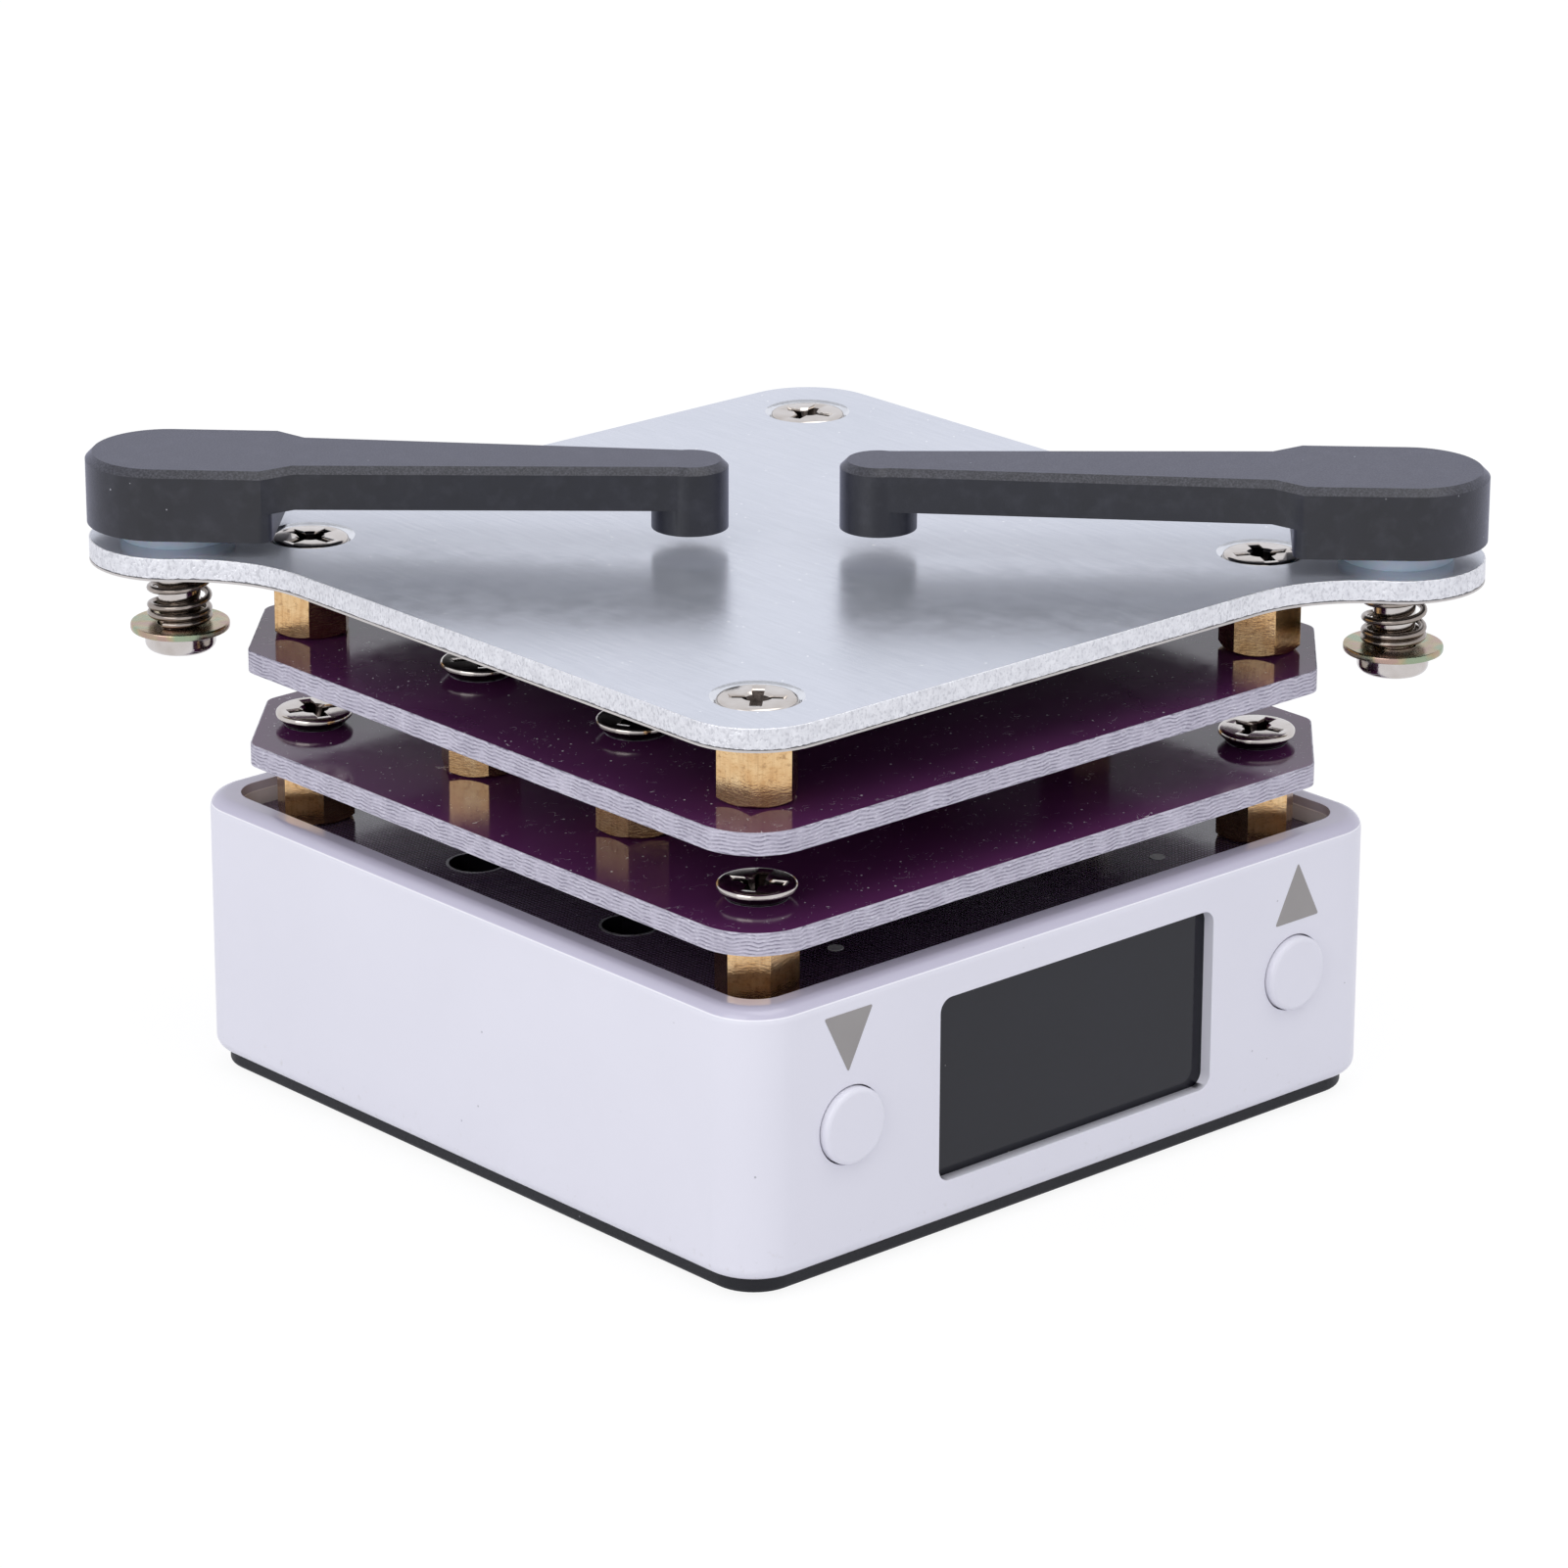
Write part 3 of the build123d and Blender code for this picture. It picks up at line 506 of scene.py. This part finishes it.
# Painted shade: the lowest grains of the relief are painted darker, as shade in the pits.
pit_painted_shade = add(cut_side, "ShaderNodeMapRange", {
    "Value": grains, "From Min": 0.35, "From Max": 0.0, "To Max": 0.32})
paint(cut_side, pit_painted_shade.outputs[0], "#98989E")
level = add(cut_side, "ShaderNodeSeparateXYZ", {0: place_mm(cut_side)}).outputs["Z"]
level = add(cut_side, "ShaderNodeMath", {
    0: level, 1: PLATE_Z - RAGGED / 2}, operation="SUBTRACT").outputs[0]
ragged = add(cut_side, "ShaderNodeTexNoise", {
    "Vector": place_mm(cut_side), "Scale": 2.2, "Detail": 4.0}).outputs[0]
ragged = add(cut_side, "ShaderNodeMath", {0: ragged, 1: RAGGED * 2}, operation="MULTIPLY")
torn = add(cut_side, "ShaderNodeMath", {
    0: level, 1: ragged.outputs[0]}, operation="LESS_THAN").outputs[0]
torn = add(cut_side, "ShaderNodeMath", {0: torn, 1: 0.75}, operation="MULTIPLY").outputs[0]
paint(cut_side, torn, "#4A4A50")

# %% Plate
SCREW_AT = 23.5
CORNERS = [(x * SCREW_AT, y * SCREW_AT) for x in (-1, 1) for y in (-1, 1)]
SINK_R = 3.3
FACE, SIDE, SINK = 0, 1, 2

turned_sink = finish(
    "turned_countersink", ("#D9DBDF", "#E6E8EB"), (0.1, 0.16), 1.0, 0.1, 0.002, Metallic=1.0)


def near_screw(p):
    return min(math.hypot(p.x - x, p.y - y) for x, y in CORNERS) < SINK_R


plate_shape = merged("heater_plate")
print("plate edges softened:", soften(plate_shape, 0.09, lambda p: not near_screw(p)))
for face in plate_shape.faces:
    if abs(face.normal.z) > 0.95:
        face.material_index = FACE
    else:
        face.material_index = SINK if near_screw(face.calc_center_median()) else SIDE
piece_from("plate", plate_shape, [aluminium, cut_side, turned_sink], "base_unit", "heater_plate")

# %% [markdown]
# ## Purple spacer boards
# The two boards are glass-fibre laminate under a glossy purple lacquer, which gathers dust
# and curls of lint. On top, the lacquer stops a little short of the edge. The sawn edge
# shows the pale laminate and its layers of cloth as wavy lines. Insetting the top and bottom
# faces gives the narrow bare border.

# %% Lacquer
lacquer = finish(
    "purple_board_lacquer", ("#542752", "#5E2D5B"), (0.08, 0.14), 8.0, 1.4, 0.0025, IOR=1.4)
speckle(lacquer, 1.1, 0.15, "#FFFFFF", 1.0)
speckle(lacquer, 0.5, 0.07, "#F0ECF4", 1.0)
curls = add(lacquer, "ShaderNodeTexNoise", {
    "Vector": place_mm(lacquer), "Scale": 0.7, "Detail": 0.0, "Distortion": 2.0}).outputs[0]
lint = hairlines(lacquer, curls, 0.005, patches(lacquer, 0.9, 2.0, 0.61, 0.63, 0.8))
paint(lacquer, lint, "#F4F1F6")

# %% Laminate
CLOTH = 0.26  # one layer of glass cloth is about a quarter of a millimetre thick
WAVE = 0.55

laminate = finish(
    "sawn_glass_laminate", ("#ACA7B6", "#C4BFCD"), (0.4, 0.6), 2.5, 0.12, 0.01, IOR=1.5)
height = add(laminate, "ShaderNodeSeparateXYZ", {0: place_mm(laminate)}).outputs["Z"]
waves = stretched(laminate, (1.0, 1.0, 0.7), 0.75, 2.0)
layer = add(laminate, "ShaderNodeMath", {
    0: waves, 1: WAVE, 2: height}, operation="MULTIPLY_ADD").outputs[0]
layer = add(laminate, "ShaderNodeMath", {
    0: layer, 1: 2 * math.pi / CLOTH}, operation="MULTIPLY").outputs[0]
layer = add(laminate, "ShaderNodeMath", {0: layer}, operation="SINE").outputs[0]
dark_layer = add(laminate, "ShaderNodeMapRange", {
    "Value": layer, "From Min": 0.45, "From Max": 0.95, "To Max": 0.9}).outputs[0]
dark_layer = add(laminate, "ShaderNodeMath", {
    0: dark_layer, 1: patches(laminate, 1.1, 5.0, 0.36, 0.58)}, operation="MULTIPLY").outputs[0]
paint(laminate, dark_layer, "#6B6678")
pale_layer = add(laminate, "ShaderNodeMapRange", {
    "Value": layer, "From Min": -0.5, "From Max": -1.0, "To Max": 0.35}).outputs[0]
paint(laminate, pale_layer, "#E3E0EA")
fibre = patches(laminate, 3.5, 4.0, 0.55, 0.75, 0.7, factors=(1.0, 1.0, 3.0))
paint(laminate, fibre, "#EFEDF5")
emboss(laminate, layer, 0.02)

# %% Boards
BARE = 0.1
OUTLINE, CUT_CORNER = 24, 45


def outer_edge(p):
    return max(abs(p.x), abs(p.y)) > OUTLINE or abs(p.x) + abs(p.y) > CUT_CORNER


for node in ("lower_board", "upper_board"):
    board = merged(node)
    levels = [v.co.z for v in board.verts]
    for level, up in ((max(levels), 1), (min(levels), -1)):
        flat = [f for f in board.faces
                if f.normal.z * up > 0.99 and abs(f.calc_center_median().z - level) < NEARLY]
        bmesh.ops.inset_region(
            board, faces=flat, thickness=BARE, use_even_offset=True, use_boundary=True)
        for face in flat:
            face.material_index = 1
    soften(board, 0.06, outer_edge)
    piece_from(node + "_soft", board, [laminate, lacquer], "base_unit", node)

# %% [markdown]
# ## Main board
# The control board lies deep in the housing. Its lacquer is darker, and a copper ground
# layer in a fine cross pattern shows through it as rows of small lighter dots. Sines along
# both diagonals, multiplied, make the dots. The four holes for a screwdriver have tinned
# rims, made as thin rings that lie on the board, and two test pads are dull with solder.

# %% Dark lacquer with a copper hatch
HATCH = 0.45

hatch_board = finish(
    "dark_board_lacquer", ("#46384B", "#4E3F54"), (0.1, 0.16), 8.0, 1.2, 0.002, IOR=1.55)
diagonal = add(hatch_board, "ShaderNodeMapping", {
    "Vector": place_mm(hatch_board), "Rotation": (0, 0, math.radians(45))}).outputs[0]
parts = add(hatch_board, "ShaderNodeSeparateXYZ", {0: diagonal})
rows = []
for axis in ("X", "Y"):
    row = add(hatch_board, "ShaderNodeMath", {
        0: parts.outputs[axis], 1: 2 * math.pi / HATCH}, operation="MULTIPLY")
    row = add(hatch_board, "ShaderNodeMath", {0: row.outputs[0]}, operation="SINE")
    rows.append(row.outputs[0])
dots = add(hatch_board, "ShaderNodeMath", {0: rows[0], 1: rows[1]}, operation="MULTIPLY")
dots = add(hatch_board, "ShaderNodeMapRange", {
    "Value": dots.outputs[0], "From Min": 0.1, "From Max": 0.6, "To Max": 0.4}).outputs[0]
paint(hatch_board, dots, "#8E7C9C")
emboss(hatch_board, dots, 0.003)
speckle(hatch_board, 1.4, 0.12, "#CFC9D6", 0.8)
# Painted shade: the sides, the walls of the holes and the underside are painted almost black, for
# the shade deep in the housing.
paint(hatch_board, facing(hatch_board, "Z", 0.6, 0.3), "#17141A")
dress(hatch_board, "main_board")

# %% Tinned rims and test pads
MAIN_TOP = 19.0
ACCESS_HOLES = [(x * 21.4, y * 8.2) for x in (-1, 1) for y in (-1, 1)]
RIM_RADII = (1.92, 2.12)
RIM_LIFT, RIM_T = 0.002, 0.03

tin = finish(
    "tinned_copper", ("#A5A3A8", "#B9B7BC"), (0.25, 0.4), 0.8, 0.12, 0.004, Metallic=1.0)
solder = finish(
    "dull_solder_pad", ("#D2D5D3", "#DFE1DF"), (0.45, 0.6), 0.6, 0.12, 0.006, Metallic=0.3)
dress(solder, "test_pads")
rims = bmesh.new()
for x, y in ACCESS_HOLES:
    place = Matrix.Translation((x, y, MAIN_TOP + RIM_LIFT))
    loops = [bmesh.ops.create_circle(rims, segments=48, radius=radius, matrix=place)["verts"]
             for radius in RIM_RADII]
    ring = {e for loop in loops for v in loop for e in v.link_edges}
    bmesh.ops.bridge_loops(rims, edges=list(ring))
thick = bmesh.ops.extrude_face_region(rims, geom=list(rims.faces))
moved = [g for g in thick["geom"] if isinstance(g, bmesh.types.BMVert)]
bmesh.ops.translate(rims, vec=(0, 0, RIM_T), verts=moved)
bmesh.ops.recalc_face_normals(rims, faces=rims.faces)
piece_from("access_hole_rims", rims, [tin], "base_unit")

# %% [markdown]
# ## Brass standoffs
# The standoffs are cut from hexagonal brass bar and turned flat at both ends, so each flat
# ends in an arc. Drawn bar has faint lines along its length and chatter across it, and
# handling leaves it warm and uneven in tone. Its long edges are worn round.

# %% Brass
brass = finish("drawn_brass", ("#DCB07A", "#EFCE9C"), (0.13, 0.22), 1.6, 0.1, 0.004, Metallic=1.0)
die_lines = patches(brass, 5.0, 3.0, 0.45, 0.75, 0.3, factors=(1.0, 1.0, 0.07))
paint(brass, die_lines, "#A0754A")
emboss(brass, die_lines, 0.004)
chatter = stretched(brass, (1.0, 1.0, 3.0), 2.6, 2.0)
emboss(brass, chatter, 0.009)
marks = add(brass, "ShaderNodeMapRange", {
    "Value": chatter, "From Min": 0.52, "From Max": 0.68, "To Max": 0.4})
paint(brass, marks.outputs[0], "#B98850")
paint(brass, patches(brass, 2.4, 5.0, 0.58, 0.7, 0.45), "#7A5433")
for node in ("low_standoffs", "mid_standoffs", "high_standoffs"):
    bar = merged(node)
    soften(bar, 0.07)
    piece_from(node + "_soft", bar, [brass], "base_unit", node)

# %% [markdown]
# ## Countersunk screws
# The screws are nickel-plated steel with a cross recess. A profile is spun into the head,
# cone and shank. Three tapered cutters are taken out of the head with Boolean modifiers:
# two crossed wings and a centre cone. Each cutter is flared at its top, because a punched
# recess has bright sloping lips. Its walls are painted dark, as painted shade in the recess.

# %% Nickel
nickel = finish(
    "nickel_plated_steel", ("#C4BCB4", "#D2CCC6"), (0.09, 0.17), 1.2, 0.1, 0.002, Metallic=1.0)
# Painted shade: a dark finish for the walls of the cross recess.
recess = finish(
    "thinly_plated_recess", ("#2E2926", "#544C47"), (0.1, 0.2), 0.4, 0.08, 0.006, Metallic=1.0)

# %% Cutters for the recess
LIP = 0.18
WING, WING_BOTTOM = (3.7, 0.78, 1.3), (0.4, 0.6)
CENTRE_R, CENTRE_BOTTOM_R, CENTRE_DEPTH = 0.91, 0.4, 1.4


def tapered(shape, size, bottom, turn):
    """A block whose lower end is drawn in, turned about Z. Its top is at z = 0."""
    block = bmesh.ops.create_cube(shape, size=1.0)["verts"]
    for vert in block:
        ends = bottom if vert.co.z < 0 else (1.0, 1.0)
        vert.co.x *= size[0] * ends[0]
        vert.co.y *= size[1] * ends[1]
        vert.co.z = 0.0 if vert.co.z > 0 else -size[2]
    bmesh.ops.rotate(shape, cent=(0, 0, 0), matrix=Matrix.Rotation(turn, 3, "Z"), verts=block)


def flare(shape):
    """Widens the top of a cutter away from its axis, so that it leaves a sloping lip."""
    bmesh.ops.bisect_plane(
        shape, geom=list(shape.verts) + list(shape.edges) + list(shape.faces),
        plane_co=(0, 0, -LIP), plane_no=(0, 0, 1))
    for vert in shape.verts:
        if vert.co.z > -LIP / 2:
            wide = vert.co.xy.normalized() * LIP * 1.5
            vert.co += Vector((wide.x, wide.y, LIP / 2))


def recess_cutter(kind):
    """One of the three cutters, as an object."""
    cutter = bmesh.new()
    if kind == "centre":
        bmesh.ops.create_cone(
            cutter, cap_ends=True, segments=24, radius1=CENTRE_BOTTOM_R, radius2=CENTRE_R,
            depth=CENTRE_DEPTH, matrix=Matrix.Translation((0, 0, -CENTRE_DEPTH / 2)))
    else:
        tapered(cutter, WING, WING_BOTTOM, 0.0 if kind == "wing" else math.pi / 2)
    flare(cutter)
    mesh = bpy.data.meshes.new(kind)
    cutter.to_mesh(mesh)
    cutter.free()
    tool = bpy.data.objects.new("cutter_" + kind, mesh)
    scene.collection.objects.link(tool)
    return tool


# %% The screw
HEAD_R, HEAD_LAND, SHANK_R = 2.72, 0.4, 1.5
TIP_CHAMFER = 0.2
RECESS_REACH, RECESS_DEPTH = 2.2, 1.45


def screw_blank(length):
    """A screw without its recess, as an object, with the top of its head at z = 0."""
    cone_end = -HEAD_LAND - HEAD_R + SHANK_R
    profile = [
        (0, 0.0), (1.2, 0.0), (HEAD_R - 0.3, 0.0), (HEAD_R - 0.15, -0.04),
        (HEAD_R - 0.04, -0.13), (HEAD_R, -0.26), (HEAD_R, -HEAD_LAND), (SHANK_R, cone_end),
        (SHANK_R, -length + TIP_CHAMFER), (SHANK_R - TIP_CHAMFER, -length), (0, -length)]
    shape = bmesh.new()
    verts = [shape.verts.new((x, 0, z)) for x, z in profile]
    edges = [shape.edges.new(pair) for pair in zip(verts, verts[1:])]
    bmesh.ops.spin(shape, geom=verts + edges, cent=(0, 0, 0), axis=(0, 0, 1),
                   angle=2 * math.pi, steps=56, use_merge=True)
    bmesh.ops.remove_doubles(shape, verts=shape.verts, dist=0.001)
    bmesh.ops.recalc_face_normals(shape, faces=shape.faces)
    mesh = bpy.data.meshes.new("screw")
    shape.to_mesh(mesh)
    shape.free()
    blank = bpy.data.objects.new("screw_blank", mesh)
    scene.collection.objects.link(blank)
    return blank


def countersunk_screw(length):
    """A finished screw as a mesh in millimetres, with the top of its head at z = 0."""
    blank = screw_blank(length)
    tools = []
    for kind in ("wing", "cross_wing", "centre"):
        tools.append(recess_cutter(kind))
        cut = blank.modifiers.new(kind, "BOOLEAN")
        cut.operation = "DIFFERENCE"
        cut.solver = "EXACT"
        cut.object = tools[-1]
    bpy.context.view_layer.update()
    depsgraph = bpy.context.evaluated_depsgraph_get()
    done = bpy.data.meshes.new_from_object(blank.evaluated_get(depsgraph))
    for spare in [blank] + tools:
        bpy.data.objects.remove(spare)
    shape = bmesh.new()
    shape.from_mesh(done)
    bmesh.ops.remove_doubles(shape, verts=shape.verts, dist=0.002)
    # The faces inside the recess take the dark finish, which is painted shade.
    for face in shape.faces:
        middle = face.calc_center_median()
        if middle.xy.length < RECESS_REACH and -RECESS_DEPTH < middle.z < -LIP:
            face.material_index = 1
    shape.to_mesh(done)
    shape.free()
    return done


# %% Place the screws
MIDDLES = [(x * 20.8, y * 8.25) for x in (-1, 1) for y in (-1, 1)]
SCREW_SETS = {  # places, height of the top, length, and how far each screw was turned
    "plate_screws": (CORNERS, 39.72, 4.0, (45, 8, 62, 20)),
    "lower_board_screws": (CORNERS, 26.97, 5.0, (33, 71, 15, 52)),
    "upper_board_screws": (MIDDLES, 33.87, 5.0, (25, 60, 10, 40)),
}
for node, (places, top, length, turns) in SCREW_SETS.items():
    one = countersunk_screw(length)
    screws = bmesh.new()
    for (x, y), turn in zip(places, turns):
        before = len(screws.verts)
        screws.from_mesh(one)
        screws.verts.ensure_lookup_table()
        new = screws.verts[before:]
        about_z = Matrix.Rotation(math.radians(turn), 3, "Z")
        bmesh.ops.rotate(screws, cent=(0, 0, 0), matrix=about_z, verts=new)
        bmesh.ops.translate(screws, vec=(x, y, top), verts=new)
    piece_from(node + "_cross", screws, [nickel, recess], "base_unit", node)
dress(nickel, "mid_under_screws", "high_under_screws", "main_board_screws", "cover_screws")

# %% [markdown]
# ## Clamp arms
# The arms are black nylon filled with glass fibre. The top is cloudy and grey in the light,
# and the chamfer along it is rubbed and speckled. All their edges are a little rounded.

# %% Nylon arms
nylon = finish(
    "glass_filled_nylon", ("#101014", "#17171D"), (0.36, 0.48), 2.2, 0.12, 0.008, IOR=1.53,
    Sheen_Weight=0.19, Sheen_Tint=[0.55, 0.58, 1.0, 1.0])
paint(nylon, patches(nylon, 0.8, 6.0, 0.5, 0.72, 0.2), "#43434A")
chamfer = add(nylon, "ShaderNodeMath", {
    0: facing(nylon, "Z", 0.3, 0.5), 1: facing(nylon, "Z", 0.95, 0.85)}, operation="MULTIPLY")
rubbed = add(nylon, "ShaderNodeMath", {
    0: chamfer.outputs[0], 1: patches(nylon, 7.0, 4.0, 0.4, 0.7, 0.25)}, operation="MULTIPLY")
paint(nylon, rubbed.outputs[0], "#74747E")
speckle(nylon, 2.4, 0.14, "#B9B9BE", 0.7)
for side in ("left", "right"):
    arm = merged(side + "_clamp_arm")
    soften(arm, 0.14, segments=3)
    piece_from(side + "_arm", arm, [nylon], side + "_clamp", side + "_clamp_arm")

# %% [markdown]
# ## Washers, springs and clamp screws
# Each arm slides on a milky nylon washer. Below the plate hang a spring of bright hard-drawn
# wire, a yellow-passivated washer whose film shifts from pink to green, and a screw.
# A spring is one circle of wire spun about the axis while it climbs, in three stages: a
# closed end, open coils and a closed end again.

# %% Washers and wire
milky = finish(
    "milky_nylon_washer", ("#CBD5E4", "#D5DEEB"), (0.3, 0.4), 2.0, 0.2, 0.003, IOR=1.53,
    Subsurface_Weight=0.5, Subsurface_Scale=0.001)
dress(milky, "slide_washers")
zinc = finish(
    "yellow_passivated_zinc", ("#AB9C7A", "#BCAE90"), (0.2, 0.3), 1.0, 0.1, 0.003, Metallic=1.0)
paint(zinc, patches(zinc, 0.55, 2.0, 0.5, 0.62, 0.75), "#93AB90")
paint(zinc, patches(zinc, 0.55, 2.0, 0.48, 0.38, 0.7), "#B79690")
wire = finish(
    "hard_drawn_wire", ("#8F857C", "#A79D94"), (0.14, 0.24), 0.8, 0.08, 0.003, Metallic=1.0)

# %% A spring
SPRING_LOW, SPRING_HIGH, COIL_R, WIRE_R = 33.3, 38.1, 2.05, 0.25
CLOSED = 2.05 * WIRE_R  # the rise of a closed turn, just over the wire's thickness
LOW_TURNS, OPEN_TURNS, HIGH_TURNS = 1.75, 2.5, 0.5
STEPS = 40


def of_type(geom, kind):
    return [g for g in geom if isinstance(g, kind)]


def coil_spring():
    """A spring about the Z axis, in millimetres, at its height under the plate."""
    coil = bmesh.new()
    stand = Matrix.Translation((COIL_R, 0, SPRING_LOW + WIRE_R))
    stand = stand @ Matrix.Rotation(math.pi / 2, 4, "X")
    circle = bmesh.ops.create_circle(coil, segments=12, radius=WIRE_R, matrix=stand)["verts"]
    last = circle + list({e for v in circle for e in v.link_edges})
    first_edges = of_type(last, bmesh.types.BMEdge)
    open_rise = SPRING_HIGH - SPRING_LOW - 2 * WIRE_R - (LOW_TURNS + HIGH_TURNS) * CLOSED
    for turns, rise in ((LOW_TURNS, LOW_TURNS * CLOSED), (OPEN_TURNS, open_rise),
                        (HIGH_TURNS, HIGH_TURNS * CLOSED)):
        steps = round(STEPS * turns)
        last = bmesh.ops.spin(
            coil, geom=last, cent=(0, 0, 0), axis=(0, 0, 1), dvec=(0, 0, rise / steps),
            angle=turns * 2 * math.pi, steps=steps, use_merge=False)["geom_last"]
    last_edges = of_type(last, bmesh.types.BMEdge)
    bmesh.ops.holes_fill(coil, edges=first_edges + last_edges)
    bmesh.ops.recalc_face_normals(coil, faces=coil.faces)
    return coil


# %% Springs and washers under the ears
EAR = 30.1

for side, x, y, phase in (("left", -EAR, EAR, 200), ("right", EAR, -EAR, 20)):
    coil = coil_spring()
    about_z = Matrix.Rotation(math.radians(phase), 3, "Z")
    bmesh.ops.rotate(coil, cent=(0, 0, 0), matrix=about_z, verts=coil.verts)
    bmesh.ops.translate(coil, vec=(x, y, 0), verts=coil.verts)
    spring = piece_from(side + "_spring", coil, [wire], "base_unit", side + "_clamp_spring")
    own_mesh(spring)
    ring = merged(side + "_spring_washer")
    soften(ring, 0.12)
    piece_from(side + "_zinc_washer", ring, [zinc], side + "_clamp_lift", side + "_spring_washer")
dress(nickel, "left_clamp_screw", "right_clamp_screw")
dress(brass, "left_clamp_insert", "right_clamp_insert")

# %% [markdown]
# ## What is under the plate and inside the base
# These parts are seldom seen, and they are real parts all the same. A dark insulating film
# lies under the plate with the printed heater on it. The base holds the display panel, the
# boards' headers, the switches, the power socket and the chips. Each gets the finish of
# its own stuff: resist ink, epoxy, ceramic, ferrite, polyimide or stamped steel.

# %% Hidden parts
INSIDE = {  # tones, roughness, patch, grain, relief, metallic, nodes
    "printed_heater_track": (
        ("#232225", "#2C2B2E"), (0.45, 0.6), 1.0, 0.15, 0.008, 0.0, ["heater_track"]),
    "tinned_lead_wire": (
        ("#B4B4B8", "#C6C6CA"), (0.25, 0.4), 1.0, 0.1, 0.004, 1.0,
        ["heater_leads", "sensor_leads"]),
    "black_epoxy_mould": (
        ("#222226", "#2B2B2F"), (0.55, 0.7), 1.5, 0.1, 0.006, 0.0,
        ["controller_chip", "power_chip", "power_transistors", "temperature_sensor"]),
    "grey_ferrite": (("#4A4A4E", "#5A5A5E"), (0.6, 0.8), 1.0, 0.15, 0.01, 0.0, ["inductor"]),
    "fired_ceramic": (
        ("#A58C6E", "#B79F80"), (0.35, 0.5), 1.0, 0.1, 0.004, 0.0, ["capacitors"]),
    "stamped_steel_shell": (
        ("#B9BABD", "#C8C9CC"), (0.2, 0.32), 2.0, 0.12, 0.003, 1.0, ["power_socket_shell"]),
    "black_glass_filled_plastic": (
        ("#1E1E21", "#28282B"), (0.45, 0.6), 1.5, 0.1, 0.005, 0.0,
        ["power_socket_core", "header_body"]),
    "gold_flashed_pins": (
        ("#D3B26A", "#E0C487"), (0.2, 0.3), 1.0, 0.1, 0.002, 1.0, ["header_pins"]),
    "black_display_module": (
        ("#1A1A1E", "#222226"), (0.3, 0.45), 4.0, 0.2, 0.003, 0.0, ["display_panel"]),
    "black_foam_tape": (
        ("#2A2A2C", "#38383A"), (0.8, 0.95), 1.0, 0.2, 0.05, 0.0, ["display_foam"]),
    "amber_polyimide": (
        ("#B06A1E", "#C27C2A"), (0.25, 0.4), 2.0, 0.2, 0.002, 0.0, ["display_flex"]),
    "black_switch_plunger": (
        ("#232326", "#2E2E31"), (0.4, 0.5), 1.0, 0.1, 0.004, 0.0,
        ["left_switch_plunger", "right_switch_plunger"]),
}
for name, (tones, roughness, patch, grain, relief, metal, nodes) in INSIDE.items():
    stuff = finish(name, tones, roughness, patch, grain, relief, Metallic=metal)
    dress(stuff, *nodes)
dress(lacquer, "front_board")
insulation = finish(
    "pale_edged_insulating_film", ("#242428", "#2C2C31"), (0.45, 0.6), 3.0, 0.2, 0.006)
paint(insulation, facing(insulation, "Z", -0.6, -0.3), "#C9C4C0")
dress(insulation, "insulation_layer")
print("hidden finishes:", len(INSIDE) + 1)

# %% Finish
bare_nodes = [
    name for name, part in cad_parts.items()
    if not part.hide_render and not any(m and m.name[0].islower() for m in part.data.materials)]
print("CAD nodes without a finish:", bare_nodes)
